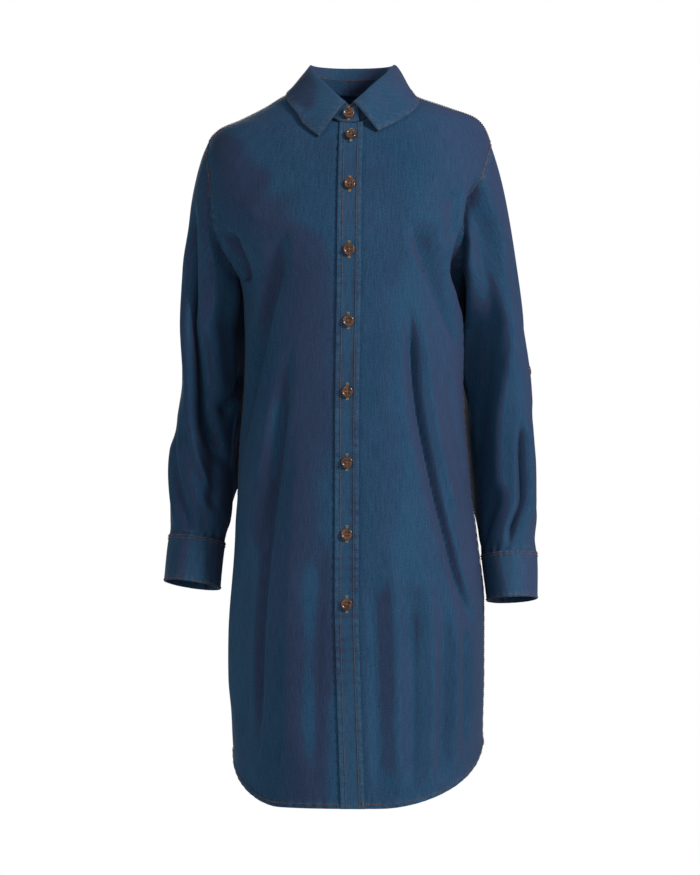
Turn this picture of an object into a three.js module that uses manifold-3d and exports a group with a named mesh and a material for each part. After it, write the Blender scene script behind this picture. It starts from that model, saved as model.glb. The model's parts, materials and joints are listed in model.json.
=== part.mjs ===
// A women's shirt dress in light denim, worn-shaped and hollow: button front, shirt collar on a stand,
// forward yoke, long sleeves with cuffs, and a curved shirt-tail hem.
// Millimetres. +Z is up, the front faces -Y and the wearer's left side is +X.
// The origin is the centre of the neck base, level with the tops of the shoulder seams.
//
// The body of the dress is one smooth surface, torsoPoint(angle, z): level rings whose half-widths and
// depths change with height. Angle 0 is the centre front and +90 degrees is the wearer's left side.
// Every panel is a patch of that surface with its own seam lines as edges.
import * as THREE from 'three';
import Module from 'manifold-3d';
import { mergeVertices } from 'three/addons/utils/BufferGeometryUtils.js';

const wasm = await Module();
wasm.setup();

const DEG = Math.PI / 180;

// ---------------------------------------------------------------- driving dimensions
const CLOTH = 1.6; // wall of one panel
const DOUBLE_CLOTH = 2.2; // wall of a folded and interfaced piece: collar, stand, cuff, placket
const SEAM_GAP = 0.3; // clearance between two pieces sewn edge to edge
const LAY_GAP = 0.5; // clearance between a piece and the one that lies on it
const HEM_FRONT = -957; // lowest line of the shirt-tail hem

// Rings of the body: [height, size], from the neck down.
const WIDTH_RIGHT = [[6, 60], [0, 66], [-10, 91], [-25, 116], [-42, 150], [-55, 180], [-69, 193],
  [-100, 203], [-140, 206], [-180, 203], [-215, 187], [-240, 166], [-262, 151], [-290, 146],
  [-346, 144], [-401, 146], [-478, 152], [-600, 156], [-730, 163.5], [-860, 161], [-960, 155]];
const WIDTH_LEFT = [[6, 60], [0, 66], [-12, 88], [-26, 128], [-42, 169], [-57, 181], [-78, 188],
  [-110, 191], [-140, 191], [-180, 186], [-215, 171], [-240, 158], [-262, 151], [-290, 149],
  [-346, 151], [-401, 150], [-447, 152.5], [-524, 160], [-622, 171.5], [-690, 178], [-784, 178.5],
  [-860, 175.5], [-960, 171]];
const DEPTH_FRONT = [[6, 50], [0, 52], [-25, 57], [-53, 68], [-75, 84], [-110, 103], [-160, 120],
  [-210, 130], [-262, 131], [-400, 126], [-500, 127], [-600, 130], [-700, 132], [-960, 134]];
const DEPTH_BACK = [[6, 48], [0, 50], [-6, 53], [-20, 62], [-47, 80], [-75, 92], [-110, 101],
  [-160, 107], [-230, 104], [-300, 99], [-400, 97], [-500, 103], [-600, 113], [-700, 121], [-960, 124]];
const ROUNDNESS = [[-60, 1], [-200, 0.95], [-320, 0.9], [-960, 0.9]]; // 1 is an ellipse, less is squarer

// Neckline, an oval in plan, and the roll line of the collar above it.
const NECK_HALF_WIDTH = 66;
const NECK_FRONT = 68;
const NECK_BACK = 53;
const ROLL_HALF_WIDTH = 54;
const ROLL_FRONT = 63;
const ROLL_BACK = 47;
const ROLL_HEIGHT = [[0, -28], [45, 4], [90, 21], [180, 18]]; // [degrees from the front, height]
const ROLL_RISE = [[0, 5], [60, 8], [90, 9.5], [180, 13]]; // how far the fall rolls above the stand
// share of that rise by which it also leans out: [degrees round the neck, share]
const ROLL_SPREAD = [[4, 0.5], [90, 0.35], [180, 0.5], [270, -0.6], [356, 0.5]];
const STAND_LAP = 3.2; // the right end of the stand lies over the left one
const TAB_DROP = 6; // and its free end is rounded down by this much
// Outer edge of the collar fall as it lies on the body: [degrees round the neck, angle, height].
const FALL_EDGE = [[4, 12, -66], [40, 34, -35], [90, 90, -7], [135, 138, -20], [180, 180, -24],
  [225, 222, -18], [270, 270, -5], [320, 328, -36], [356, 348.5, -72]];

// Seams.
const YOKE_FORWARD = 8.5; // degrees that the yoke comes forward of the shoulder ridge
const YOKE_BACK_Z = -98; // level back seam of the yoke
const ARMHOLE_WIDTH = 26; // degrees from its middle to its front or back edge
const ARMHOLE = { right: { top: -69, bottom: -262 }, left: { top: -78, bottom: -252 } };
// How far the centre front strays to the wearer's left at each height
const CENTRE_DRIFT = [[-60, 3], [-220, 3], [-460, 0], [-690, 0], [-760, 1.5], [-954, 8]];

// Front band and buttons.
const BAND_HALF = 15.6;
const FRONT_MEET = -8; // the two fronts meet under the band, off centre
const BUTTON_RADIUS = 7.6;
const BUTTON_THICKNESS = 3;
const STAND_BUTTON_Z = -39.5;
const FRONT_BUTTON_Z = [-72, -138, -224, -317, -410, -503, -597, -689];
const SLEEVE_BUTTON_Z = -381;

// Sleeves: [height, distance out from the middle, distance back, half width, half depth].
const SLEEVE_RIGHT = {
  side: -1, crownReach: 95, twist: 28, twistFade: 120, lean: 0.13, tip: 0.17, cuffTop: -608, cuffBottom: -670,
  sections: [[-325, 186.5, 24, 33, 68], [-400, 187, 33, 34, 66], [-450, 192.3, 33, 37, 64],
    [-500, 198.7, 28, 40, 61], [-560, 205, 18, 41.5, 54], [-608, 210.3, 9, 38.2, 43],
    [-670, 216.2, -2, 38.2, 42]],
};
const SLEEVE_LEFT = {
  side: 1, crownReach: 55, twist: 28, twistFade: 70, lean: 0.055, tip: 0.14, cuffTop: -627, cuffBottom: -689,
  sections: [[-325, 188, 24, 33.5, 68], [-400, 194.5, 33, 40, 66], [-450, 197.7, 34, 41.5, 64],
    [-500, 202, 31, 41.5, 61], [-570, 206.2, 22, 38.3, 57], [-627, 211.4, 12, 37.8, 44],
    [-689, 215.7, 1, 34.3, 47]],
};
const SLIT_LENGTH = 120; // opening above the cuff, bound by its own narrow placket
const SLIT_HALF_TURN = 9 * DEG;
const SLEEVE_LAY_GAP = 1.8; // clearance over the coarser facets of a sleeve
const CUFF_START = -0.62 * Math.PI; // turn at which the cuff begins, toward the back
const CUFF_LAP = 0.55; // radians by which one end of a cuff lies over the other
const CUFF_LAP_LIFT = DOUBLE_CLOTH + 0.8;

const denim = new THREE.MeshStandardMaterial({ color: 0x2f4a6a, roughness: 0.85, metalness: 0 });
const denimBand = new THREE.MeshStandardMaterial({ color: 0x364f6f, roughness: 0.85, metalness: 0 });
const horn = new THREE.MeshStandardMaterial({ color: 0x4a2a1c, roughness: 0.3, metalness: 0 });

const dress = new THREE.Group();

// ---------------------------------------------------------------- helpers
function lerp(a, b, t) {
  return a + (b - a) * t;
}

function smooth(t) {
  const k = Math.min(1, Math.max(0, t));
  return k * k * (3 - 2 * k);
}

// A smooth curve through [key, value] pairs that never overshoots them (monotone cubic).
function along(table, key) {
  const rows = table[0][0] < table[table.length - 1][0] ? table : [...table].reverse();
  const last = rows.length - 1;
  if (key <= rows[0][0]) return rows[0][1];
  if (key >= rows[last][0]) return rows[last][1];
  let i = 0;
  while (key > rows[i + 1][0]) i += 1;
  const slope = (k) => (rows[k + 1][1] - rows[k][1]) / (rows[k + 1][0] - rows[k][0]);
  const tangent = (k) => {
    if (k === 0) return slope(0);
    if (k === last) return slope(last - 1);
    const before = slope(k - 1);
    const after = slope(k);
    return before * after <= 0 ? 0 : (2 * before * after) / (before + after);
  };
  const step = rows[i + 1][0] - rows[i][0];
  const t = (key - rows[i][0]) / step;
  const h = [2 * t ** 3 - 3 * t ** 2 + 1, t ** 3 - 2 * t ** 2 + t, -2 * t ** 3 + 3 * t ** 2, t ** 3 - t ** 2];
  return h[0] * rows[i][1] + h[1] * step * tangent(i) + h[2] * rows[i + 1][1] + h[3] * step * tangent(i + 1);
}

function power(value, exponent) {
  return Math.sign(value) * Math.abs(value) ** exponent;
}

// ---------------------------------------------------------------- the surface of the body
function ringSize(x, y, z) {
  const width = along(x < 0 ? WIDTH_RIGHT : WIDTH_LEFT, z);
  const depth = along(y < 0 ? DEPTH_FRONT : DEPTH_BACK, z);
  return [width, depth, along(ROUNDNESS, z)];
}

function torsoPoint(angle, z) {
  const sin = Math.sin(angle);
  const cos = Math.cos(angle);
  const [width, depth, round] = ringSize(sin, -cos, z);
  return new THREE.Vector3(width * power(sin, round), -depth * power(cos, round), z);
}

function torsoNormal(angle, z) {
  const dAngle = torsoPoint(angle + 0.02, z).sub(torsoPoint(angle - 0.02, z));
  const dUp = torsoPoint(angle, z + 1.5).sub(torsoPoint(angle, z - 1.5));
  return dAngle.cross(dUp).normalize();
}

// The angle on the ring at height z where the surface has the given x, on the front.
function frontAngleAt(x, z) {
  const [width, , round] = ringSize(x, -1, z);
  return Math.asin(power(x / width, 1 / round));
}

// The point of the body surface, as [angle, z], that lies over a point of the plan near the neck.
function overPlan(x, y) {
  let high = 6;
  let low = -90;
  for (let i = 0; i < 40; i += 1) {
    const middle = (high + low) / 2;
    const [width, depth] = ringSize(x, y, middle);
    if ((x / width) ** 2 + (y / depth) ** 2 > 1) high = middle;
    else low = middle;
  }
  const [width, depth] = ringSize(x, y, high);
  return [Math.atan2(x / width, -y / depth), high];
}

// ---------------------------------------------------------------- seam lines, as [angle, z]
function necklinePlan(angle) {
  const depth = Math.cos(angle) > 0 ? NECK_FRONT : NECK_BACK;
  return [NECK_HALF_WIDTH * Math.sin(angle), -depth * Math.cos(angle)];
}

function necklineAt(angle) {
  const [x, y] = necklinePlan(angle);
  const [found, z] = overPlan(x, y);
  return [found < 0 && angle > Math.PI ? found + 2 * Math.PI : found, z];
}

// A point of the armhole. Turn 0 is the top, a quarter turn is its front edge, and half is the underarm.
function armholeAt(side, turn) {
  const { top, bottom } = side < 0 ? ARMHOLE.right : ARMHOLE.left;
  const z = (top + bottom) / 2 + ((top - bottom) / 2) * Math.cos(turn);
  return [side * (90 - ARMHOLE_WIDTH * Math.sin(turn)) * DEG, z];
}

// Angle of a panel's outer edge at height z: the side seam, then the armhole, up to the given limit.
function panelEdge(side, z, limit) {
  const { top, bottom } = side < 0 ? ARMHOLE.right : ARMHOLE.left;
  const reach = (Math.min(z, limit) - (top + bottom) / 2) / ((top - bottom) / 2);
  if (reach <= -1) return 90 * DEG;
  return (90 - ARMHOLE_WIDTH * Math.sqrt(Math.max(0, 1 - reach * reach))) * DEG;
}

function hemHeight(angle) {
  const turn = Math.abs(Math.atan2(Math.sin(angle), Math.cos(angle))) / DEG;
  const fromCentre = Math.min(turn, 180 - turn);
  const rightSide = Math.sin(angle) < 0;
  const flat = rightSide ? 33 : 14;
  const rise = rightSide ? 62 : 76;
  return HEM_FRONT + rise * (Math.max(0, fromCentre - flat) / (90 - flat)) ** 1.65;
}

// ---------------------------------------------------------------- solids from grids of points
// A grid is a list of rows of { point, normal }. The wall goes inward from it. A ring grid closes on itself.
function shell(name, grid, wall, material, ring = false) {
  const rows = grid.length;
  const cols = grid[0].length;
  const positions = [];
  for (const depth of [0, wall]) {
    for (const row of grid) {
      for (const { point, normal } of row) {
        positions.push(point.x - normal.x * depth, point.y - normal.y * depth, point.z - normal.z * depth);
      }
    }
  }
  const at = (layer, r, c) => layer * rows * cols + r * cols + (c % cols);
  const index = [];
  const quad = (a, b, c, d) => index.push(a, b, c, a, c, d);
  const spans = ring ? cols : cols - 1;
  for (let r = 0; r < rows - 1; r += 1) {
    for (let c = 0; c < spans; c += 1) {
      quad(at(0, r, c), at(0, r, c + 1), at(0, r + 1, c + 1), at(0, r + 1, c));
      quad(at(1, r, c), at(1, r + 1, c), at(1, r + 1, c + 1), at(1, r, c + 1));
    }
  }
  for (let c = 0; c < spans; c += 1) {
    quad(at(0, 0, c), at(1, 0, c), at(1, 0, c + 1), at(0, 0, c + 1));
    quad(at(0, rows - 1, c), at(0, rows - 1, c + 1), at(1, rows - 1, c + 1), at(1, rows - 1, c));
  }
  for (let r = 0; r < rows - 1 && !ring; r += 1) {
    quad(at(0, r, 0), at(0, r + 1, 0), at(1, r + 1, 0), at(1, r, 0));
    quad(at(0, r, cols - 1), at(1, r, cols - 1), at(1, r + 1, cols - 1), at(0, r + 1, cols - 1));
  }
  const geometry = new THREE.BufferGeometry();
  geometry.setAttribute('position', new THREE.Float32BufferAttribute(positions, 3));
  geometry.setIndex(index);
  geometry.computeVertexNormals();
  const mesh = new THREE.Mesh(geometry, material);
  mesh.name = name;
  dress.add(mesh);
}

// Gives each point of a plain grid the normal of the grid itself.
function withNormals(points, ring = false) {
  const cols = points[0].length;
  return points.map((row, r) => row.map((point, c) => {
    const left = ring ? (c + cols - 1) % cols : Math.max(0, c - 1);
    const right = ring ? (c + 1) % cols : Math.min(cols - 1, c + 1);
    const across = row[right].clone().sub(row[left]);
    const down = points[Math.min(points.length - 1, r + 1)][c].clone().sub(points[Math.max(0, r - 1)][c]);
    return { point, normal: across.cross(down).normalize() };
  }));
}

function onTorso(angle, z, lift = 0) {
  const normal = torsoNormal(angle, z);
  return { point: torsoPoint(angle, z).addScaledVector(normal, lift), normal };
}

// Rows sit closer together toward the shoulders, where the surface bends most.
function towardTop(v) {
  return 1 - (1 - v) ** 1.6;
}

// ---------------------------------------------------------------- fronts, back and yoke
// The angle at height z of a line that runs down the front x away from the centre front.
function frontEdge(z, x) {
  return frontAngleAt(x + along(CENTRE_DRIFT, z), z);
}

// The top edge of a front panel: the neckline for the first part of u, then the yoke seam.
function frontTop(side, u, innerX) {
  const neckShare = 5 / 13; // the other 8 of 13 columns match the rows of the yoke
  const start = Math.asin((innerX + along(CENTRE_DRIFT, 0)) / NECK_HALF_WIDTH);
  const corner = side * (90 - YOKE_FORWARD - 4) * DEG;
  if (u <= neckShare) return necklineAt(lerp(start, corner, u / neckShare));
  const [fromAngle, fromZ] = necklineAt(corner);
  const [toAngle, toZ] = armholeAt(side, Math.asin(YOKE_FORWARD / ARMHOLE_WIDTH));
  const t = (u - neckShare) / (1 - neckShare);
  return [lerp(fromAngle, toAngle, t), lerp(fromZ, toZ, t)];
}

function frontPanel(name, side, innerX) {
  const cols = 13;
  const rows = 22;
  const seamZ = armholeAt(side, Math.asin(YOKE_FORWARD / ARMHOLE_WIDTH))[1];
  const underarm = side < 0 ? ARMHOLE.right.bottom : ARMHOLE.left.bottom;
  const gap = 0.5 * SEAM_GAP;
  const grid = [];
  for (let r = 0; r <= rows; r += 1) {
    const row = [];
    for (let c = 0; c <= cols; c += 1) {
      const u = c / cols;
      const [topAngle, topZ] = frontTop(side, u, innerX);
      const base = (z) => lerp(frontEdge(z, innerX), side * panelEdge(side, z, seamZ), u);
      const hem = hemHeight(base(HEM_FRONT));
      const z = lerp(hem, topZ - gap, towardTop(r / rows));
      const pull = smooth((z - underarm) / (topZ - underarm));
      const inward = (-side * gap * u) / 150;
      const angle = base(z) + (topAngle - base(topZ)) * pull + inward;
      row.push(onTorso(angle, z));
    }
    grid.push(side < 0 ? row.reverse() : row);
  }
  shell(name, grid, CLOTH, denim);
}

function backPanel() {
  const cols = 20;
  const rows = 15;
  const gap = 0.5 * SEAM_GAP;
  const grid = [];
  for (let r = 0; r <= rows; r += 1) {
    const row = [];
    for (let c = 0; c <= cols; c += 1) {
      const u = c / cols;
      const edges = (z) => [
        Math.PI - panelEdge(1, z, YOKE_BACK_Z) + gap / 150,
        Math.PI + panelEdge(-1, z, YOKE_BACK_Z) - gap / 150,
      ];
      const hem = hemHeight(lerp(...edges(HEM_FRONT), u));
      const z = lerp(hem, YOKE_BACK_Z - gap, r / rows);
      row.push(onTorso(lerp(...edges(z), u), z));
    }
    grid.push(row);
  }
  shell('back', grid, CLOTH, denim);
}

// The outer edge of the yoke, from its left front corner, over the shoulder and along the back seam.
function yokeOuter(p) {
  const armShare = 0.2;
  const forward = Math.asin(YOKE_FORWARD / ARMHOLE_WIDTH);
  const cornerTurn = (side) => {
    const { top, bottom } = side < 0 ? ARMHOLE.right : ARMHOLE.left;
    return -Math.acos((YOKE_BACK_Z - (top + bottom) / 2) / ((top - bottom) / 2));
  };
  if (p <= armShare) return armholeAt(1, lerp(forward, cornerTurn(1), p / armShare));
  if (p >= 1 - armShare) {
    const [angle, z] = armholeAt(-1, lerp(cornerTurn(-1), forward, (p - 1 + armShare) / armShare));
    return [angle + 2 * Math.PI, z];
  }
  const from = armholeAt(1, cornerTurn(1))[0];
  const to = armholeAt(-1, cornerTurn(-1))[0] + 2 * Math.PI;
  return [lerp(from, to, (p - armShare) / (1 - 2 * armShare)), YOKE_BACK_Z];
}

function yoke() {
  const cols = 26;
  const rows = 8;
  const corner = (90 - YOKE_FORWARD - 4) * DEG;
  const gap = 0.5 * SEAM_GAP;
  const grid = [];
  for (let r = 0; r <= rows; r += 1) {
    const row = [];
    for (let c = 0; c <= cols; c += 1) {
      const p = c / cols;
      const [innerAngle, innerZ] = necklineAt(lerp(corner, 2 * Math.PI - corner, p));
      const [outerAngle, outerZ] = yokeOuter(p);
      const q = 1 - r / rows;
      const backSeam = Math.min(1, Math.min(p, 1 - p) / 0.02);
      const edgeLift = gap * q * backSeam;
      const seamShift = (gap / 70) * (1 - backSeam) * (p < 0.5 ? 1 : -1);
      row.push(onTorso(lerp(innerAngle, outerAngle, q) + seamShift, lerp(innerZ, outerZ, q) + edgeLift));
    }
    grid.push(row);
  }
  shell('yoke', grid, CLOTH, denim);
}

// ---------------------------------------------------------------- front band
function placketBand() {
  const cols = 2;
  const rows = 22;
  const lift = LAY_GAP + CLOTH;
  const grid = [];
  for (let r = 0; r <= rows; r += 1) {
    const row = [];
    for (let c = 0; c <= cols; c += 1) {
      const x = lerp(-BAND_HALF, BAND_HALF, c / cols);
      const top = necklineAt(Math.asin((x + along(CENTRE_DRIFT, 0)) / NECK_HALF_WIDTH))[1] - 0.8;
      const z = lerp(HEM_FRONT, top, towardTop(r / rows));
      row.push(onTorso(frontEdge(z, x), z, lift));
    }
    grid.push(row);
  }
  shell('placket', grid, CLOTH, denimBand);
}

// ---------------------------------------------------------------- sleeves and cuffs
function sleeveSection(sleeve, z, turn) {
  const column = (k) => along(sleeve.sections.map((row) => [row[0], row[k]]), z);
  const [out, back, halfWidth, halfDepth] = [1, 2, 3, 4].map(column);
  const twist = sleeve.twist * DEG * smooth((z - sleeve.cuffTop) / sleeve.twistFade);
  const a = halfWidth * Math.cos(turn);
  const b = -halfDepth * Math.sin(turn);
  const dx = sleeve.side * (a * Math.cos(twist) - b * Math.sin(twist));
  const dy = a * Math.sin(twist) + b * Math.cos(twist);
  const settle = smooth((-325 - z) / 150);
  const dz = settle * (sleeve.side * sleeve.lean * dx - sleeve.tip * dy);
  return new THREE.Vector3(sleeve.side * out + dx, back + dy, z + dz);
}

// From the armhole to the first level section, each line of the sleeve bends from the shoulder's slope
// to straight down.
function sleeveCap(sleeve, turn, t) {
  const { side } = sleeve;
  const [angle, z] = armholeAt(side, turn);
  const crown = 0.5 + 0.5 * Math.cos(turn);
  const from = onTorso(angle, z, lerp(3.2, 0, crown)).point;
  const to = sleeveSection(sleeve, sleeve.sections[0][0], turn);
  const drop = from.z - to.z;
  const reach = side * lerp(12, sleeve.crownReach, crown);
  const start = new THREE.Vector3(reach, -8 * Math.sin(turn), -drop * lerp(0.5, 0.55, crown));
  const end = new THREE.Vector3(0, 0, -drop * lerp(0.6, 1.1, crown));
  const h = [2 * t ** 3 - 3 * t ** 2 + 1, t ** 3 - 2 * t ** 2 + t, -2 * t ** 3 + 3 * t ** 2, t ** 3 - t ** 2];
  return new THREE.Vector3()
    .addScaledVector(from, h[0])
    .addScaledVector(start, h[1])
    .addScaledVector(to, h[2])
    .addScaledVector(end, h[3]);
}

function sleeveGrid(sleeve, cols) {
  const capRows = 7;
  const armRows = 8;
  const top = sleeve.sections[0][0];
  const points = [];
  for (let r = 0; r <= capRows + armRows; r += 1) {
    const row = [];
    for (let c = 0; c < cols; c += 1) {
      const turn = (sleeve.side * 2 * Math.PI * c) / cols;
      if (r <= capRows) row.push(sleeveCap(sleeve, turn, Math.max(0.014, r / capRows)));
      else {
        const z = lerp(top, sleeve.cuffTop + SEAM_GAP, (r - capRows) / armRows);
        row.push(sleeveSection(sleeve, z, turn));
      }
    }
    points.push(row);
  }
  return withNormals(points, true);
}

// Turns a grid over, so that its normals point the other way.
function flipped(grid) {
  const turned = ({ point, normal }) => ({ point, normal: normal.clone().negate() });
  return grid.map((row) => row.map(turned).reverse());
}

function sleeveTube(name, sleeve) {
  shell(name, sleeveGrid(sleeve, 22), CLOTH, denim, true);
}

// A point of the finished sleeve or cuff with the direction that faces away from the arm.
function onSleeve(sleeve, z, turn) {
  const point = sleeveSection(sleeve, z, turn);
  const around = sleeveSection(sleeve, z, turn + 0.05).sub(sleeveSection(sleeve, z, turn - 0.05));
  const up = sleeveSection(sleeve, z + 3, turn).sub(sleeveSection(sleeve, z - 3, turn));
  const normal = up.cross(around).normalize().multiplyScalar(sleeve.side);
  return { point, normal };
}

// The cuff is a band round the wrist whose upper end laps over the other at the back.
function cuff(name, sleeve) {
  const cols = 30;
  const rows = 2;
  const grid = [];
  for (let r = 0; r <= rows; r += 1) {
    const z = lerp(sleeve.cuffBottom, sleeve.cuffTop, r / rows);
    const row = [];
    for (let c = 0; c <= cols; c += 1) {
      const sweep = (c / cols) * (2 * Math.PI + CUFF_LAP);
      const cell = onSleeve(sleeve, z, CUFF_START + sweep);
      cell.point.addScaledVector(cell.normal, CUFF_LAP_LIFT * smooth((sweep - 2 * Math.PI + 0.7) / 0.7));
      row.push(cell);
    }
    grid.push(sleeve.side > 0 ? row.reverse() : row);
  }
  shell(name, grid, DOUBLE_CLOTH, denimBand);
}

// A narrow binding over the slit at the back of the sleeve.
function slitPlacket(name, sleeve) {
  const rows = 6;
  const cols = 3;
  const middle = CUFF_START + CUFF_LAP;
  const grid = [];
  for (let r = 0; r <= rows; r += 1) {
    const z = lerp(sleeve.cuffTop + 3, sleeve.cuffTop + SLIT_LENGTH, r / rows);
    const row = [];
    for (let c = 0; c <= cols; c += 1) {
      const cell = onSleeve(sleeve, z, middle + lerp(-SLIT_HALF_TURN, SLIT_HALF_TURN, c / cols));
      cell.point.addScaledVector(cell.normal, CLOTH + SLEEVE_LAY_GAP);
      row.push(cell);
    }
    grid.push(sleeve.side > 0 ? row.reverse() : row);
  }
  shell(name, grid, CLOTH, denimBand);
}

// ---------------------------------------------------------------- collar
function ovalPoint(angle, halfWidth, front, back, z) {
  const depth = Math.cos(angle) > 0 ? front : back;
  return new THREE.Vector3(halfWidth * Math.sin(angle), -depth * Math.cos(angle), z);
}

function degreesFromFront(angle) {
  return Math.acos(Math.cos(angle)) / DEG;
}

function rollLine(angle) {
  const z = along(ROLL_HEIGHT, degreesFromFront(angle));
  return ovalPoint(angle, ROLL_HALF_WIDTH, ROLL_FRONT, ROLL_BACK, z);
}

function standLap(angle) {
  return STAND_LAP * smooth((angle / DEG - 290) / 40);
}

// The stand is one strip round the neck. Its right end goes on past the centre front, over the left end.
function collarStand() {
  const cols = 36;
  const rows = 2;
  const grid = [];
  for (let r = 0; r <= rows; r += 1) {
    const row = [];
    for (let c = 0; c <= cols; c += 1) {
      const angle = lerp(-9, 371, c / cols) * DEG;
      const outward = new THREE.Vector3(Math.sin(angle), -Math.cos(angle), 0);
      const round = angle > Math.PI ? angle - 2 * Math.PI : angle;
      const [seamAngle, seamZ] = necklineAt(round);
      const seam = torsoPoint(seamAngle, seamZ + 1.4);
      const top = rollLine(angle);
      top.z -= TAB_DROP * smooth((angle / DEG - 350) / 15);
      row.push(seam.clone().lerp(top, r / rows).addScaledVector(outward, standLap(angle)));
    }
    grid.push(row);
  }
  shell('collar_stand', withNormals(grid), DOUBLE_CLOTH, denim);
}

// The fall rises from the stand, rolls over and lies down on the shoulders.
function collarFall() {
  const cols = 32;
  const rows = 6;
  const points = [];
  for (let r = 0; r <= rows; r += 1) {
    const row = [];
    for (let c = 0; c <= cols; c += 1) {
      const degrees = lerp(4, 356, c / cols);
      const angle = degrees * DEG;
      const outward = new THREE.Vector3(Math.sin(angle), -Math.cos(angle), 0);
      const rise = along(ROLL_RISE, degreesFromFront(angle));
      const edgeAngle = along(FALL_EDGE.map((k) => [k[0], k[1]]), degrees) * DEG;
      const edgeZ = along(FALL_EDGE.map((k) => [k[0], k[2]]), degrees);
      const from = rollLine(angle).addScaledVector(outward, standLap(angle) - DOUBLE_CLOTH);
      from.z += 3.2;
      const overTab = (STAND_LAP + 1.5) * smooth((28 - degrees) / 14);
      const to = onTorso(edgeAngle, edgeZ, DOUBLE_CLOTH + 2.5).point;
      const up = new THREE.Vector3(0, 0, rise);
      const overRoll = from.clone().addScaledVector(up, 3).addScaledVector(outward, 1.5 + overTab);
      const leanOut = along(ROLL_SPREAD, degrees) * rise + overTab;
      const underRoll = from.clone().lerp(to, 0.45).addScaledVector(up, 1.3);
      underRoll.addScaledVector(outward, leanOut);
      row.push(new THREE.CubicBezierCurve3(from, overRoll, underRoll, to).getPoint((r / rows) ** 1.3));
    }
    points.push(row);
  }
  shell('collar_fall', flipped(withNormals(points)), DOUBLE_CLOTH, denimBand);
}

// ---------------------------------------------------------------- buttons
function solidOf(geometry) {
  geometry.deleteAttribute('normal');
  geometry.deleteAttribute('uv');
  const merged = mergeVertices(geometry, 1e-4);
  return new wasm.Manifold(new wasm.Mesh({
    numProp: 3,
    vertProperties: merged.attributes.position.array,
    triVerts: Uint32Array.from(merged.index.array),
  }));
}

// A four-hole button with a raised rim, lying on the plane y = 0 with its face up +Y.
function buttonGeometry() {
  const rim = BUTTON_RADIUS;
  const outline = [[0, 0], [rim - 0.8, 0], [rim, 0.9], [rim, 2.2], [rim - 0.9, BUTTON_THICKNESS],
    [rim - 2, 2.8], [rim - 3, 2.1], [0, 2]];
  let solid = solidOf(new THREE.LatheGeometry(outline.map(([r, h]) => new THREE.Vector2(r, h)), 20));
  for (const [x, z] of [[2, 2], [-2, 2], [2, -2], [-2, -2]]) {
    const hole = new THREE.CylinderGeometry(0.85, 0.85, 8, 8).translate(x, 0, z);
    solid = solid.subtract(solidOf(hole));
  }
  const { vertProperties, triVerts } = solid.getMesh();
  const geometry = new THREE.BufferGeometry();
  geometry.setAttribute('position', new THREE.Float32BufferAttribute(vertProperties, 3));
  geometry.setIndex([...triVerts]);
  geometry.computeVertexNormals();
  return geometry;
}

const BUTTON = buttonGeometry();

function button(name, point, normal, lift) {
  const mesh = new THREE.Mesh(BUTTON, horn);
  mesh.name = name;
  mesh.position.copy(point).addScaledVector(normal, lift);
  mesh.quaternion.setFromUnitVectors(new THREE.Vector3(0, 1, 0), normal);
  dress.add(mesh);
}

function frontButtons() {
  const standBottom = torsoPoint(...necklineAt(0));
  const standTop = rollLine(0);
  const share = (STAND_BUTTON_Z - standBottom.z) / (standTop.z - standBottom.z);
  const slope = standTop.clone().sub(standBottom);
  const normal = new THREE.Vector3(1, 0, 0).cross(slope).normalize();
  button('button_stand', standBottom.clone().lerp(standTop, share), normal, STAND_LAP + 0.6);
  FRONT_BUTTON_Z.forEach((z, i) => {
    const { point, normal: out } = onTorso(frontEdge(z, 0), z);
    button(`button_${i + 1}`, point, out, LAY_GAP + CLOTH + 0.4);
  });
}

function sleeveButtons(name, sleeve) {
  const tab = onSleeve(sleeve, SLEEVE_BUTTON_Z, 0.3);
  button(`button_tab_${name}`, tab.point, tab.normal, SLEEVE_LAY_GAP);
  const cuffZ = (sleeve.cuffTop + sleeve.cuffBottom) / 2;
  const lap = onSleeve(sleeve, cuffZ, CUFF_START + 0.6 * CUFF_LAP);
  button(`button_cuff_${name}`, lap.point, lap.normal, CUFF_LAP_LIFT + 0.6);
}

frontPanel('front_right', -1, FRONT_MEET - 0.5 * SEAM_GAP);
frontPanel('front_left', 1, FRONT_MEET + 0.5 * SEAM_GAP);
backPanel();
yoke();
placketBand();
collarStand();
collarFall();
frontButtons();
for (const [name, sleeve] of [['right', SLEEVE_RIGHT], ['left', SLEEVE_LEFT]]) {
  sleeveTube(`sleeve_${name}`, sleeve);
  cuff(`cuff_${name}`, sleeve);
  slitPlacket(`sleeve_placket_${name}`, sleeve);
  sleeveButtons(name, sleeve);
}

export default dress;
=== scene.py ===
# %% [markdown]
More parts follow.
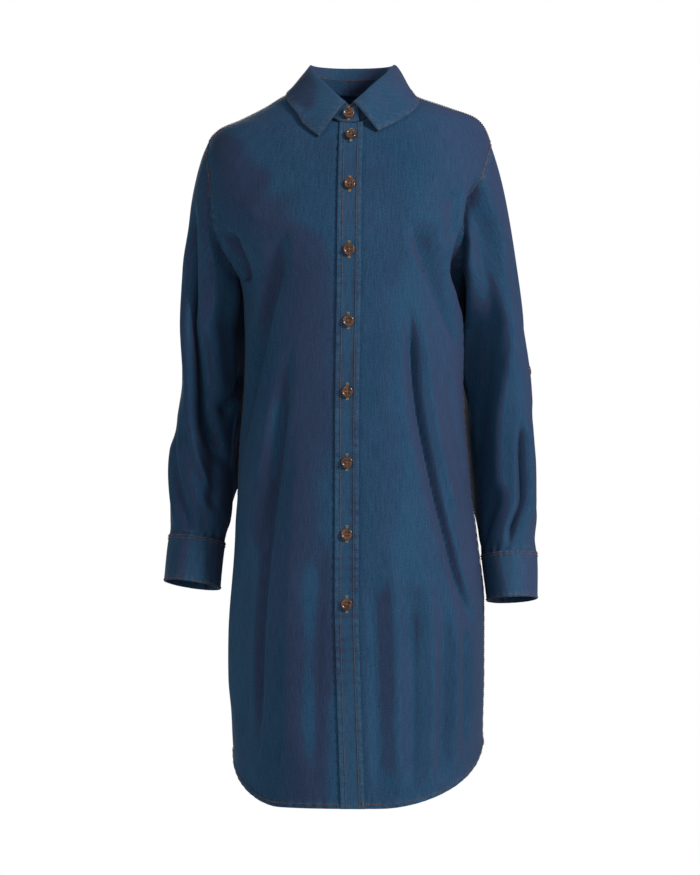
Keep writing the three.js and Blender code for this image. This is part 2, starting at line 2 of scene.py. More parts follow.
# # A denim shirt dress
# This lesson builds the looks of a women's shirt dress in Blender, around its imported CAD model. The dress
# is hollow and keeps the shape it has when it is worn. The CAD model gives every piece a place and a size,
# so the first step loads it and reads boxes from its parts.

# %% Load the frame
import json
import math
import bpy
import numpy as np
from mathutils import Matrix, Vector

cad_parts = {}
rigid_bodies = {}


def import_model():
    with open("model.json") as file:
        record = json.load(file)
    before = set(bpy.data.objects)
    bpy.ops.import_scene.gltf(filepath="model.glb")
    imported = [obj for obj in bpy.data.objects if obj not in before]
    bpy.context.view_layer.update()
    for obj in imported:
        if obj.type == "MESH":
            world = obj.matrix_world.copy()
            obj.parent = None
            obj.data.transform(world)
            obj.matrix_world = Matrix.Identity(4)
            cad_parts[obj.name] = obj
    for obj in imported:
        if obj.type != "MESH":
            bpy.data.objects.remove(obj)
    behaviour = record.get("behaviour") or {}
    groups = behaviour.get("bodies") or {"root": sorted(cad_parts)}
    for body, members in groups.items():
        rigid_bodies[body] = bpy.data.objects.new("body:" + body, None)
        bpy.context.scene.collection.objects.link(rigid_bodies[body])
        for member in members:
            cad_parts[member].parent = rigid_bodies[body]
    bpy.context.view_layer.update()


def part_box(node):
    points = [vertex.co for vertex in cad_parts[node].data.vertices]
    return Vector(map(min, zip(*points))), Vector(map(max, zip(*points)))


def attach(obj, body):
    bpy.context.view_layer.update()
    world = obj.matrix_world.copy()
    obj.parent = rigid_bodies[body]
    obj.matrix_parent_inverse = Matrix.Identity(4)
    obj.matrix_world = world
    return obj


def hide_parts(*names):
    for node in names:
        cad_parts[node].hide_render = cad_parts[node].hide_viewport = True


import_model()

MM = 0.001

# %% [markdown]
# ## The camera
# A long lens from 4.5 m keeps the sides of the dress almost parallel, as in a catalogue view. It is level
# with the middle of the dress and stands 3 degrees to the wearer's left.

# %% Camera
CAMERA_DISTANCE = 4.5
CAMERA_TURN = math.radians(3.0)
VIEW_HEIGHT = 1.181
SENSOR_HEIGHT = 36
MIDDLE = Vector((-0.0027, 0, -0.4705))


def add_object(name, data):
    made = bpy.data.objects.new(name, data)
    bpy.context.collection.objects.link(made)
    return made


def make_camera():
    data = bpy.data.cameras.new("camera")
    data.sensor_fit = "VERTICAL"
    data.sensor_height = SENSOR_HEIGHT
    data.lens = SENSOR_HEIGHT * CAMERA_DISTANCE / VIEW_HEIGHT
    camera = add_object("camera", data)
    toward = Vector((math.sin(CAMERA_TURN), -math.cos(CAMERA_TURN), 0))
    camera.location = MIDDLE + toward * CAMERA_DISTANCE
    camera.rotation_euler = (math.pi / 2, 0, CAMERA_TURN)
    bpy.context.scene.camera = camera
    print("lens in mm:", round(data.lens, 1))


make_camera()

# %% [markdown]
# ## The form of the body
# Cloth on a person is close to a stack of level rings: narrow at the neck, wide at the shoulders, full at
# the bust and hip. So the body is one formula, `torso(angle, z)`. Its rings are rounded boxes
# (superellipses) whose half-widths and depths change smoothly with height. Angle 0 is the centre front and
# +90 degrees is the wearer's left. All panels are cut from this one surface, so their edges meet without
# gaps. Sizes are in millimetres until a mesh is made.

# %% Ring sizes, as (height, size)
WIDTH_RIGHT = [(6, 60), (0, 66), (-10, 91), (-25, 116), (-42, 150), (-55, 180), (-69, 193),
               (-100, 203), (-140, 206), (-180, 203), (-215, 187), (-240, 166), (-262, 151), (-290, 146),
               (-346, 144), (-401, 146), (-478, 152), (-600, 156), (-730, 163.5), (-860, 161), (-960, 155)]
WIDTH_LEFT = [(6, 60), (0, 66), (-12, 88), (-26, 128), (-42, 169), (-57, 181), (-78, 188),
              (-110, 191), (-140, 191), (-180, 186), (-215, 171), (-240, 158), (-262, 151), (-290, 149),
              (-346, 151), (-401, 150), (-447, 152.5), (-524, 160), (-622, 171.5), (-690, 178), (-784, 178.5),
              (-860, 175.5), (-960, 171)]
DEPTH_FRONT = [(6, 50), (0, 52), (-25, 57), (-53, 68), (-75, 84), (-110, 103), (-160, 120),
               (-210, 130), (-262, 131), (-400, 126), (-500, 127), (-600, 130), (-700, 132), (-960, 134)]
DEPTH_BACK = [(6, 48), (0, 50), (-6, 53), (-20, 62), (-47, 80), (-75, 92), (-110, 101),
              (-160, 107), (-230, 104), (-300, 99), (-400, 97), (-500, 103), (-600, 113), (-700, 121),
              (-960, 124)]
ROUNDNESS = [(-60, 1), (-200, 0.95), (-320, 0.9), (-960, 0.9)]


def hermite(t, start, leave, end, arrive):
    """A smooth run from start to end that sets off along leave and comes in along arrive."""
    return ((2 * t**3 - 3 * t**2 + 1) * start + (t**3 - 2 * t**2 + t) * leave
            + (3 * t**2 - 2 * t**3) * end + (t**3 - t**2) * arrive)


def along(table, key):
    """A smooth curve through (key, value) pairs that never overshoots them."""
    keys, values = np.array(sorted(table), float).T
    slope = np.diff(values) / np.diff(keys)
    both = slope[:-1] * slope[1:]
    total = np.where(both > 0, slope[:-1] + slope[1:], 1)
    tangent = np.concatenate(([slope[0]], np.where(both > 0, 2 * both / total, 0), [slope[-1]]))
    key = np.clip(key, keys[0], keys[-1])
    i = np.clip(np.searchsorted(keys, key) - 1, 0, len(keys) - 2)
    step = keys[i + 1] - keys[i]
    t = (key - keys[i]) / step
    return hermite(t, values[i], step * tangent[i], values[i + 1], step * tangent[i + 1])


def smooth(t):
    t = np.clip(t, 0, 1)
    return t * t * (3 - 2 * t)


def lerp(a, b, t):
    return a + (b - a) * t


def power(value, exponent):
    return np.sign(value) * np.abs(value) ** exponent


def unit(vectors):
    return vectors / np.maximum(np.linalg.norm(vectors, axis=-1, keepdims=True), 1e-9)


def stacked(*coordinates):
    return np.stack(np.broadcast_arrays(*coordinates), axis=-1)


def ring_width(x, z):
    """Half-width of the ring at a height, on the side where x is."""
    return np.where(x < 0, along(WIDTH_RIGHT, z), along(WIDTH_LEFT, z))


def ring_depth(y, z):
    return np.where(y < 0, along(DEPTH_FRONT, z), along(DEPTH_BACK, z))


def torso(angle, z):
    sin, cos = np.sin(angle), np.cos(angle)
    rounding = along(ROUNDNESS, z)
    return stacked(ring_width(sin, z) * power(sin, rounding), -ring_depth(-cos, z) * power(cos, rounding), z)


def torso_normal(angle, z):
    around = torso(angle + 0.02, z) - torso(angle - 0.02, z)
    up = torso(angle, z + 1.5) - torso(angle, z - 1.5)
    return unit(np.cross(around, up))


BUST_Z = -210.0
print("bust ring, half width and front depth:", ring_width(1, BUST_Z), ring_depth(-1, BUST_Z))

# %% [markdown]
# ## Folds
# The folds of worn denim are long and soft. A cloth simulation would make folds, but not these folds, so
# each one is listed: a line on the unrolled surface with a width and a height. A negative height is
# a trough. Paths are in (degrees round the body, height), and `MM_PER_DEGREE` turns degrees into millimetres.

# %% Fold helpers
MM_PER_DEGREE = 2.5
GIRTH = math.degrees(MM_PER_DEGREE)


def fold_line(path):
    """Points of a fold's path, closely spaced on a smooth curve, with the share of its length at each."""
    path = np.array(path, float) * (MM_PER_DEGREE, 1)
    run = np.concatenate(([0], np.cumsum(np.linalg.norm(np.diff(path, axis=0), axis=1))))
    at = np.linspace(0, run[-1], 22)
    x = along(list(zip(run, path[:, 0])), at)
    y = along(list(zip(run, path[:, 1])), at)
    return np.stack([x, y], axis=1), at / run[-1]


def fold_relief(folds, around, z):
    """Height of all folds at points of the unrolled surface, in mm, each with one width on either side."""
    total = np.zeros(np.broadcast(around, z).shape)
    for path, widths, height in folds:
        points, share = fold_line(path)
        best = np.full(total.shape, 1e9)
        place, side = np.zeros(total.shape), np.zeros(total.shape)
        for a, b, sa, sb in zip(points[:-1], points[1:], share[:-1], share[1:]):
            run = b - a
            t = np.clip(((around - a[0]) * run[0] + (z - a[1]) * run[1]) / (run @ run), 0, 1)
            distance = np.hypot(around - a[0] - t * run[0], z - a[1] - t * run[1])
            closer = distance < best
            best = np.where(closer, distance, best)
            place = np.where(closer, lerp(sa, sb, t), place)
            side = np.where(closer, run[0] * (z - a[1]) - run[1] * (around - a[0]), side)
        width = np.where(side < 0, *widths)
        taper = smooth(place / 0.2) * smooth((1 - place) / 0.2)
        total += height * taper * np.exp(-((best / width) ** 2))
    return total


def ripples(around, z):
    """Slow unevenness that keeps a large panel from looking moulded."""
    waves = [(0.031, 0.004, 0.0, 0.55), (0.017, 0.011, 1.3, 0.7), (0.045, -0.009, 2.1, 0.35),
             (0.023, -0.018, 4.0, 0.45), (0.061, 0.006, 5.2, 0.22), (0.009, 0.029, 0.7, 0.5)]
    return sum(height * np.sin(x * around + y * z + phase) for x, y, phase, height in waves)


# %% Folds of the body, as (path downward, widths toward the wearer's right and left, height)
BODY_FOLDS = [
    # wearer's right front
    ([(-22, -185), (-27, -225), (-41, -290), (-50, -355), (-62, -435), (-72, -490)], (18, 5.5), -11.5),
    ([(-28, -335), (-31, -420), (-34, -500), (-40, -610), (-42, -685), (-44, -790), (-48, -910)],
     (16, 5.5), -11.0),
    ([(-52, -195), (-56, -232), (-66, -264)], (15, 8), -17.0),
    ([(-44, -250), (-58, -320), (-70, -390)], (14, 10), 4.0),
    ([(-40, -400), (-46, -480), (-52, -560), (-56, -640)], (12, 9), 4.0),
    ([(-53, -600), (-56, -740), (-58, -900)], (24, 12), -6.0),
    ([(-76, -520), (-77, -680), (-75, -860)], (14, 14), 4.0),
    ([(-20, -420), (-24, -560), (-26, -720), (-28, -930)], (12, 26), 3.0),
    ([(-10, -600), (-12, -760), (-13, -952)], (12, 8), -2.5),
    ([(-24, -110), (-34, -150), (-42, -185)], (12, 12), 2.5),
    # wearer's left front
    ([(67, -118), (62, -160), (62, -205), (67, -240), (78, -265), (90, -300)], (12, 16), -24.0),
    ([(46, -140), (48, -180), (50, -215)], (12, 12), -6.0),
    ([(24, -180), (31, -213), (47, -266), (63, -322), (82, -372)], (6, 20), -13.0),
    ([(31, -280), (32, -330), (36, -434), (42, -516), (50, -610), (56, -672), (70, -740)], (12, 6), -12.5),
    ([(38, -300), (44, -410), (52, -520), (62, -600)], (8, 14), 4.5),
    ([(60, -380), (66, -450), (74, -530)], (10, 10), -4.0),
    ([(8, -640), (10, -760), (12, -952)], (6, 9), -4.5),
    ([(17, -600), (19, -760), (21, -952)], (8, 8), 4.0),
    ([(26, -660), (27, -800), (28, -950)], (9, 7), -4.5),
    ([(34, -640), (36, -800), (37, -945)], (9, 8), 4.0),
    ([(43, -660), (43, -800), (42, -938)], (7, 12), -4.5),
    ([(58, -700), (59, -800), (60, -900)], (9, 9), -4.5),
    ([(50, -690), (51, -800), (51, -920)], (9, 9), 3.5),
    ([(14, -250), (16, -360), (15, -470)], (14, 14), 1.6),
    # sides and back, which hang in the same way
    ([(96, -290), (100, -360), (112, -450), (116, -560)], (14, 8), -6.0),
    ([(-98, -290), (-104, -370), (-114, -470), (-118, -570)], (8, 14), -6.0),
    ([(118, -580), (121, -740), (120, -930)], (18, 12), 5.0),
    ([(104, -640), (102, -780), (100, -890)], (15, 8), -6.0),
    ([(-120, -600), (-122, -760), (-121, -930)], (14, 18), 5.0),
    ([(-104, -620), (-101, -770), (-99, -880)], (8, 15), -6.0),
    ([(138, -190), (146, -290), (152, -380), (156, -480)], (14, 7), -6.0),
    ([(-140, -190), (-148, -300), (-152, -400), (-158, -490)], (7, 14), -6.0),
    ([(148, -500), (152, -640), (150, -800), (151, -948)], (8, 16), -6.0),
    ([(-150, -520), (-154, -660), (-152, -820), (-152, -948)], (16, 8), -6.0),
    ([(165, -400), (168, -560), (167, -740), (168, -950)], (14, 9), 4.5),
    ([(-168, -430), (-170, -600), (-171, -780), (-170, -950)], (9, 14), 4.5),
    ([(180, -520), (181, -700), (182, -950)], (10, 8), -4.5),
    ([(128, -120), (132, -170), (130, -230)], (16, 12), -7.0),
    ([(-128, -120), (-132, -170), (-130, -230)], (12, 16), -7.0),
    ([(170, -130), (160, -190), (150, -250)], (12, 12), 3.0),
    ([(-170, -130), (-160, -200), (-150, -260)], (12, 12), 3.0),
]


def wrapped(angle):
    return np.degrees(np.arctan2(np.sin(angle), np.cos(angle)))


def body_relief(angle, z):
    around = wrapped(angle) * MM_PER_DEGREE
    calm = 1 - np.exp(-((around / 20) ** 2))
    shoulders = smooth((-z - 40) / 60)
    full_turn = 360 * MM_PER_DEGREE
    relief = sum(fold_relief(BODY_FOLDS, around + shift, z) for shift in (-full_turn, 0, full_turn))
    return (relief + ripples(around, z) * 0.9) * lerp(0.15, 1, calm) * shoulders


def on_body(angle, z, lift=0.0):
    """Points of the folded body surface and their outward directions."""
    angle, z = np.broadcast_arrays(np.asarray(angle, float), np.asarray(z, float))
    normal = torso_normal(angle, z)
    height = body_relief(angle, z) + lift
    return torso(angle, z) + normal * height[..., None], normal


print("folds on the body:", len(BODY_FOLDS))

# %% [markdown]
# ## Seam lines
# A pattern cutter draws the neckline, the armholes, the side seams, the yoke seams and the hem. Here each
# is a small function that gives an angle and a height on the body.

# %% Seams
NECK_HALF_WIDTH, NECK_FRONT, NECK_BACK = 66, 68, 53
YOKE_FORWARD = 8.5
YOKE_CORNER = math.radians(90 - YOKE_FORWARD - 4)
YOKE_BACK_Z = -98.0
ARMHOLE_WIDTH = 26
ARMHOLE = {-1: (-69, -262), 1: (-78, -252)}
HEM_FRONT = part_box("placket")[0].z / MM
CENTRE_DRIFT = [(-60, 3), (-220, 3), (-460, 0), (-690, 0), (-760, 1.5), (HEM_FRONT, 8)]
FRONT_MEET = -8.0
BAND_HALF = 15.6


def neckline(angle):
    """The neck seam: an oval in plan, dropped onto the shoulders by halving the height range."""
    depth = np.where(np.cos(angle) > 0, NECK_FRONT, NECK_BACK)
    x, y = NECK_HALF_WIDTH * np.sin(angle), -depth * np.cos(angle)
    high, low = np.full(np.shape(x), 6.0), np.full(np.shape(x), -90.0)
    for _ in range(36):
        middle = (high + low) / 2
        outside = (x / ring_width(x, middle)) ** 2 + (y / ring_depth(y, middle)) ** 2 > 1
        high, low = np.where(outside, middle, high), np.where(outside, low, middle)
    found = np.arctan2(x / ring_width(x, high), -y / ring_depth(y, high))
    return np.where((found < 0) & (angle > math.pi), found + 2 * math.pi, found), high


def armhole(side, turn):
    """Turn 0 is the top of the armhole, a quarter turn its front edge and a half turn the underarm."""
    top, bottom = ARMHOLE[side]
    z = (top + bottom) / 2 + (top - bottom) / 2 * np.cos(turn)
    return side * np.radians(90 - ARMHOLE_WIDTH * np.sin(turn)), z


def panel_edge(side, z, limit):
    """Angle of a panel's outer edge: the side seam, then the armhole up to a limit."""
    top, bottom = ARMHOLE[side]
    reach = (np.minimum(z, limit) - (top + bottom) / 2) / ((top - bottom) / 2)
    inset = ARMHOLE_WIDTH * np.sqrt(np.clip(1 - reach**2, 0, 1))
    return np.radians(90 - np.where(reach <= -1, 0, inset))


def hem_height(angle):
    turn = np.abs(wrapped(angle))
    from_centre = np.minimum(turn, 180 - turn)
    right = np.sin(angle) < 0
    flat, rise = np.where(right, 33, 14), np.where(right, 62, 76)
    return HEM_FRONT + rise * (np.maximum(0, from_centre - flat) / (90 - flat)) ** 1.65


def front_line(x, z):
    """Angle of a line that runs down the front, x away from the centre front."""
    x = x + along(CENTRE_DRIFT, z)
    return np.arcsin(power(x / ring_width(x, z), 1 / along(ROUNDNESS, z)))


print("hem at the centre front:", round(HEM_FRONT), "mm")

# %% [markdown]
# ## Cloth as a thin wall
# A panel is a grid of points. It becomes a closed wall one cloth thick: the face, the same grid moved
# inward, and a strip round the edge. Each point also stores how far it is along and across the cloth, as
# UVs in metres, so the weave is at its real scale, and how near it is to a stitched seam, so the material
# can show the wear there.

# %% Panels
CLOTH = 0.9
DOUBLE_CLOTH = 1.9


def run_along(points, axis):
    """Distance along each row or column of a grid from its start."""
    steps = np.linalg.norm(np.diff(points, axis=axis), axis=2)
    return np.insert(np.cumsum(steps, axis=axis), 0, 0, axis=axis)


class Panel:
    """A grid of cloth: points and outward directions, in mm, rows upward and columns across."""

    def __init__(self, points, normals, ring=False, cloth=None):
        self.points, self.normals, self.ring, self.cloth = points, normals, ring, cloth
        self.across, self.up = run_along(points, 1), run_along(points, 0)
        self.seam = np.zeros(points.shape[:2])

    def from_edge(self, edge):
        """Distance of every point from one edge, measured along the cloth."""
        if edge == "left":
            return self.across
        if edge == "right":
            return self.across[:, -1:] - self.across
        return self.up if edge == "bottom" else self.up[-1:] - self.up

    def wear(self, edges, inset, reach):
        """Marks the cloth near stitched edges."""
        for edge in edges.split():
            self.seam = np.maximum(self.seam, np.exp(-(((self.from_edge(edge) - inset) / reach) ** 2)))

    def pucker(self, edges, pitch, height, reach):
        """Small gathers that the stitching pulls into edges."""
        for edge in edges.split():
            run = self.up if edge in ("left", "right") else self.across
            wobble = 1.7 * np.sin(run * 0.041) + 1.1 * np.sin(run * 0.083 + 1.0)
            fade = np.exp(-(self.from_edge(edge) / reach) ** 2)
            gather = np.sin(2 * math.pi * run / pitch + wobble) * height * fade
            self.points = self.points + self.normals * gather[..., None]

    def line(self, edge, inset, lift=0.0):
        """The line that runs at one distance from an edge, with its outward directions."""
        distance, cells = self.from_edge(edge), np.concatenate((self.points, self.normals), axis=2)
        if edge in ("top", "bottom"):
            distance, cells = distance.T, cells.swapaxes(0, 1)
        found = []
        for away, cell in zip(distance, cells):
            order = np.argsort(away)
            found.append([np.interp(inset, away[order], cell[order, k]) for k in range(6)])
        found = np.array(found)
        out = unit(found[:, 3:])
        return found[:, :3] + out * lift, out


def wall_faces(rows, cols, ring):
    """Corner numbers of the face, lining and edge strips of a wall."""
    faces = []

    def add(*corners):
        """Adds four-cornered faces; each corner is a layer, a row and a column."""
        faces.append(np.stack([layer * rows * cols + r * cols + c % cols for layer, r, c in corners], 1))

    across = np.arange(cols if ring else cols - 1)
    r, c = (values.ravel() for values in np.meshgrid(np.arange(rows - 1), across, indexing="ij"))
    add((0, r, c), (0, r, c + 1), (0, r + 1, c + 1), (0, r + 1, c))
    add((1, r, c), (1, r + 1, c), (1, r + 1, c + 1), (1, r, c + 1))
    c, top = across, rows - 1
    add((0, 0, c), (1, 0, c), (1, 0, c + 1), (0, 0, c + 1))
    add((0, top, c), (0, top, c + 1), (1, top, c + 1), (1, top, c))
    if not ring:
        r, last = np.arange(rows - 1), cols - 1
        add((0, r, 0), (0, r + 1, 0), (1, r + 1, 0), (1, r, 0))
        add((0, r, last), (1, r, last), (1, r + 1, last), (0, r + 1, last))
    return np.concatenate(faces)


def mesh_object(name, points, faces, material, sharp=35):
    """A smooth-shaded mesh object from points in mm that rides with the dress."""
    mesh = bpy.data.meshes.new(name)
    mesh.from_pydata((np.asarray(points) * MM).tolist(), [], [list(face) for face in faces])
    mesh.polygons.foreach_set("use_smooth", [True] * len(mesh.polygons))
    mesh.set_sharp_from_angle(angle=math.radians(sharp))
    mesh.materials.append(material)
    obj = add_object(name, mesh)
    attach(obj, "root")
    return obj


def sew(name, panel, material, replaces, wall=CLOTH):
    """Makes a panel's wall, stores its cloth coordinates, hides the CAD part it replaces and measures its area
    and width.
    """
    rows, cols = panel.points.shape[:2]
    points = np.concatenate((panel.points, panel.points - panel.normals * wall)).reshape(-1, 3)
    obj = mesh_object(name, points, wall_faces(rows, cols, panel.ring), material)
    mesh = obj.data
    lengthwise = (panel.across - panel.across[:, -1:] / 2, panel.up) if panel.cloth is None else panel.cloth
    flat_uv = stacked(*lengthwise).reshape(-1, 2) * MM
    corners = np.zeros(len(mesh.loops), dtype=int)
    mesh.loops.foreach_get("vertex_index", corners)
    layer = mesh.uv_layers.new(name="cloth")
    layer.data.foreach_set("uv", flat_uv[corners % (rows * cols)].ravel())
    seam = mesh.attributes.new("seam", "FLOAT", "POINT")
    seam.data.foreach_set("value", np.tile(panel.seam.ravel(), 2))
    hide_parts(replaces)
    edge_a, edge_b = panel.points[:-1, :-1], panel.points[1:, 1:]
    other_a, other_b = panel.points[1:, :-1], panel.points[:-1, 1:]
    area = 0.5 * np.linalg.norm(np.cross(edge_b - edge_a, other_b - other_a), axis=2).sum() * MM**2
    width = panel.across[:, -1].max() * MM
    if panel.ring:
        closing = np.linalg.norm(panel.points[:, 0] - panel.points[:, -1], axis=1).max() * MM
        width += closing
        area *= 1 + closing / width


def toward_top(v):
    """Rows closer together at the shoulders, where the surface bends most."""
    return 1 - (1 - v) ** 1.25

# %% [markdown]
# ## Denim
# Denim is a twill: blue warp threads run down the cloth and pale weft threads cross behind them. Warp yarn
# is uneven, so old denim has short pale slubs along its length, and it fades first where seams and folds
# rub. All of this could be painted, but a few noise textures in the cloth's own coordinates follow each
# panel and stay at their real scale. Band pieces are doubled and edge-stitched, so they have a material of
# their own, a bit paler.

# %% Material helpers
def node(tree, kind, **settings):
    made = tree.nodes.new("ShaderNode" + kind)
    for key, value in settings.items():
        if hasattr(made, key):
            setattr(made, key, value)
        else:
            made.inputs[key.replace("_", " ")].default_value = value
    return made


def new_material(name):
    """A material with its node tree and its surface node."""
    material = bpy.data.materials.new(name)
    material.use_nodes = True
    return material, material.node_tree, material.node_tree.nodes["Principled BSDF"]


def stretched_noise(tree, source, scale, detail=2.0, roughness=0.5):
    """Noise whose grain is 1 / scale metres in each direction."""
    mapping = node(tree, "Mapping", Scale=scale)
    noise = node(tree, "TexNoise", Scale=1.0, Detail=detail, Roughness=roughness)
    tree.links.new(source, mapping.inputs["Vector"])
    tree.links.new(mapping.outputs["Vector"], noise.inputs["Vector"])
    return noise.outputs["Fac"]


def remap(tree, value, low, high, to_low, to_high):
    made = node(tree, "MapRange", From_Min=low, From_Max=high, To_Min=to_low, To_Max=to_high)
    tree.links.new(value, made.inputs["Value"])
    return made.outputs["Result"]


def combine(tree, operation, a, b):
    made = node(tree, "Math", operation=operation)
    for socket, value in zip(made.inputs, (a, b)):
        if isinstance(value, (int, float)):
            socket.default_value = value
        else:
            tree.links.new(value, socket)
    return made.outputs["Value"]


def blend_colours(tree, factor, a, b):
    made = node(tree, "Mix", data_type="RGBA")
    tree.links.new(factor, made.inputs["Factor"])
    for socket, value in zip((made.inputs[6], made.inputs[7]), (a, b)):
        if isinstance(value, tuple):
            socket.default_value = (*value, 1)
        else:
            tree.links.new(value, socket)
    return made.outputs[2]


# %% Denim material
# painted sheen: where cloth that leans by a share of a half turn is painted violet, as if the light caught its
# weft, and how much
PAINTED_SHEEN_STOPS = ((0.0, 0.1), (0.2, 0.1), (0.33, 0.9), (0.44, 0.9), (0.5, 0.05), (0.62, 0.4), (0.7, 0.0))


def denim_material(name, dark, light, painted_weft_sheen, worn):
    material, tree, surface = new_material(name)
    cloth = node(tree, "UVMap", uv_map="cloth").outputs["UV"]
    space = node(tree, "TexCoord").outputs["Object"]

    slub = stretched_noise(tree, cloth, (620, 42, 1), 4.0, 0.7)
    yarn = stretched_noise(tree, cloth, (760, 520, 1), 2.0, 0.6)
    cloud = stretched_noise(tree, space, (9, 9, 5), 3.0, 0.55)
    tone = remap(tree, cloud, 0.32, 0.68, -0.16, 0.2)
    for grain, amount in ((slub, 0.5), (yarn, 0.6)):
        tone = combine(tree, "ADD", tone, remap(tree, grain, 0.32, 0.68, 0.0, amount))
    colour = blend_colours(tree, tone, dark, light)
    # Painted sheen: the colour turns violet according to which way the surface faces, standing in for light
    # catching the weft.
    way = node(tree, "SeparateXYZ")
    tree.links.new(node(tree, "TexCoord").outputs["Normal"], way.inputs["Vector"])
    lean = combine(tree, "ADD", way.outputs["X"], combine(tree, "MULTIPLY", way.outputs["Z"], 0.7))
    lean = combine(tree, "ADD", lean, remap(tree, cloud, 0.3, 0.7, -0.12, 0.12))
    painted_sheen_ramp = node(tree, "ValToRGB")
    for place, amount in PAINTED_SHEEN_STOPS:
        stop = painted_sheen_ramp.color_ramp.elements.new(place)
        stop.color = (amount, amount, amount, 1)
    tree.links.new(remap(tree, lean, -1, 1, 0, 1), painted_sheen_ramp.inputs["Fac"])
    painted_sheen_violet = blend_colours(tree, tone, tuple(c * 0.62 for c in painted_weft_sheen), tuple(c * 1.3 for c in painted_weft_sheen))
    colour = blend_colours(tree, painted_sheen_ramp.outputs["Color"], colour, painted_sheen_violet)

    seam = node(tree, "Attribute", attribute_name="seam").outputs["Fac"]
    roping = stretched_noise(tree, space, (160, 160, 160), 2.0, 0.6)
    rubbed = combine(tree, "MULTIPLY", seam, remap(tree, roping, 0.42, 0.66, 0.0, 0.4))
    colour = blend_colours(tree, rubbed, colour, worn)
    tree.links.new(colour, surface.inputs["Base Color"])

    tree.links.new(remap(tree, slub, 0.3, 0.7, 0.9, 0.78), surface.inputs["Roughness"])
    surface.inputs["Sheen Weight"].default_value = 0.03
    surface.inputs["Sheen Roughness"].default_value = 0.5
    surface.inputs["Specular IOR Level"].default_value = 0.08

    twill = node(tree, "TexWave", wave_type="BANDS", bands_direction="DIAGONAL", Scale=190.0, Distortion=1.5)
    tree.links.new(cloth, twill.inputs["Vector"])
    weave = combine(tree, "ADD", combine(tree, "MULTIPLY", twill.outputs["Fac"], 0.25), slub)
    relief = combine(tree, "ADD", weave, combine(tree, "MULTIPLY", yarn, 0.5))
    bump = node(tree, "Bump", Strength=0.45, Distance=0.0006)
    tree.links.new(relief, bump.inputs["Height"])
    puckers = node(tree, "Bump", Strength=0.6, Distance=0.0015)
    tree.links.new(combine(tree, "MULTIPLY", seam, roping), puckers.inputs["Height"])
    tree.links.new(bump.outputs["Normal"], puckers.inputs["Normal"])
    tree.links.new(puckers.outputs["Normal"], surface.inputs["Normal"])
    return material


# The third colour is painted sheen: the violet painted where the cloth faces one way.
DENIM = denim_material("denim", dark=(0.006, 0.030, 0.070), light=(0.024, 0.078, 0.150),
                       painted_weft_sheen=(0.024, 0.040, 0.088), worn=(0.05, 0.11, 0.18))
DENIM_BAND = denim_material("denim_band", dark=(0.008, 0.034, 0.076), light=(0.029, 0.085, 0.158),
                            painted_weft_sheen=(0.027, 0.044, 0.094), worn=(0.058, 0.12, 0.19))
print("denim nodes:", len(DENIM.node_tree.nodes))

# %% [markdown]
# ## Fronts
# Each front is one piece from shoulder to hem. Its columns lean from the centre line toward the neck and
# the yoke seam, so the grid follows the cut. The grid is about 4 mm, fine enough for the puckers at the
# seams.

# %% Front panels
def yoke_corner(side):
    return armhole(side, math.asin(YOKE_FORWARD / ARMHOLE_WIDTH))


def front_top(side, u, inner_x):
    """Top edge of a front: the neckline, then the yoke seam."""
    neck_share = 5 / 13
    start = math.asin(inner_x / NECK_HALF_WIDTH)
    neck_angle, neck_z = neckline(lerp(start, side * YOKE_CORNER, np.minimum(1, u / neck_share)))
    seam_angle, seam_z = yoke_corner(side)
    t = np.clip((u - neck_share) / (1 - neck_share), 0, 1)
    return lerp(neck_angle, seam_angle, t), lerp(neck_z, seam_z, t)


def narrow_hem(points, normals):
    """The hem is turned up twice and stitched, so its last 7 mm are thicker and a little gathered."""
    up = run_along(points, 0)
    fold = 1 - smooth((up - 5.5) / 3)
    run = np.arange(points.shape[1])
    gather = 0.45 * np.sin(run * 1.15) + 0.3 * np.sin(run * 0.53 + 1)
    return points + normals * (fold * 0.9 + gather * np.exp(-((up - 5) / 6) ** 2))[..., None]


def hem_rows(count):
    """Row places from 0 to 1: six close rows for the hem, then even rows."""
    return np.concatenate((np.linspace(0, 0.012, 7)[:-1], np.linspace(0.012, 1, count - 6)))


def front_panel(side, inner_x, rows=250, cols=104):
    u = np.linspace(0, 1, cols)[None, :]
    v = toward_top(hem_rows(rows))[:, None]
    top_angle, top_z = front_top(side, u, inner_x)
    seam_z = yoke_corner(side)[1]
    underarm = ARMHOLE[side][1]

    def base(z):
        return lerp(front_line(inner_x, z), side * panel_edge(side, z, seam_z), u)

    hem = hem_height(base(np.full_like(u, HEM_FRONT)))
    z = lerp(hem, top_z, v)
    pull = smooth((z - underarm) / (top_z - underarm))
    angle = base(z) + (top_angle - base(top_z)) * pull
    points, normals = on_body(angle, z)
    if side < 0:
        points, normals, angle, z = (values[:, ::-1] for values in (points, normals, angle, z))
    panel = Panel(narrow_hem(points, normals), normals, cloth=(angle * GIRTH, z))
    outer = "left" if side < 0 else "right"
    panel.wear("bottom", 3, 6)
    panel.wear(outer, 5, 8)
    panel.wear("top", 4, 6)
    panel.pucker(outer, 13, 0.4, 12)
    panel.pucker("top", 12, 0.3, 9)
    return panel


FRONTS = {-1: front_panel(-1, FRONT_MEET), 1: front_panel(1, FRONT_MEET)}
sew("cloth_front_right", FRONTS[-1], DENIM, "front_right")
sew("cloth_front_left", FRONTS[1], DENIM, "front_left")

# %% [markdown]
# ## Back and yoke
# The back is one piece below a straight yoke seam. The yoke is a ring-shaped piece over both shoulders: its
# inner edge is the neckline and its outer edge runs up each armhole and across the back.

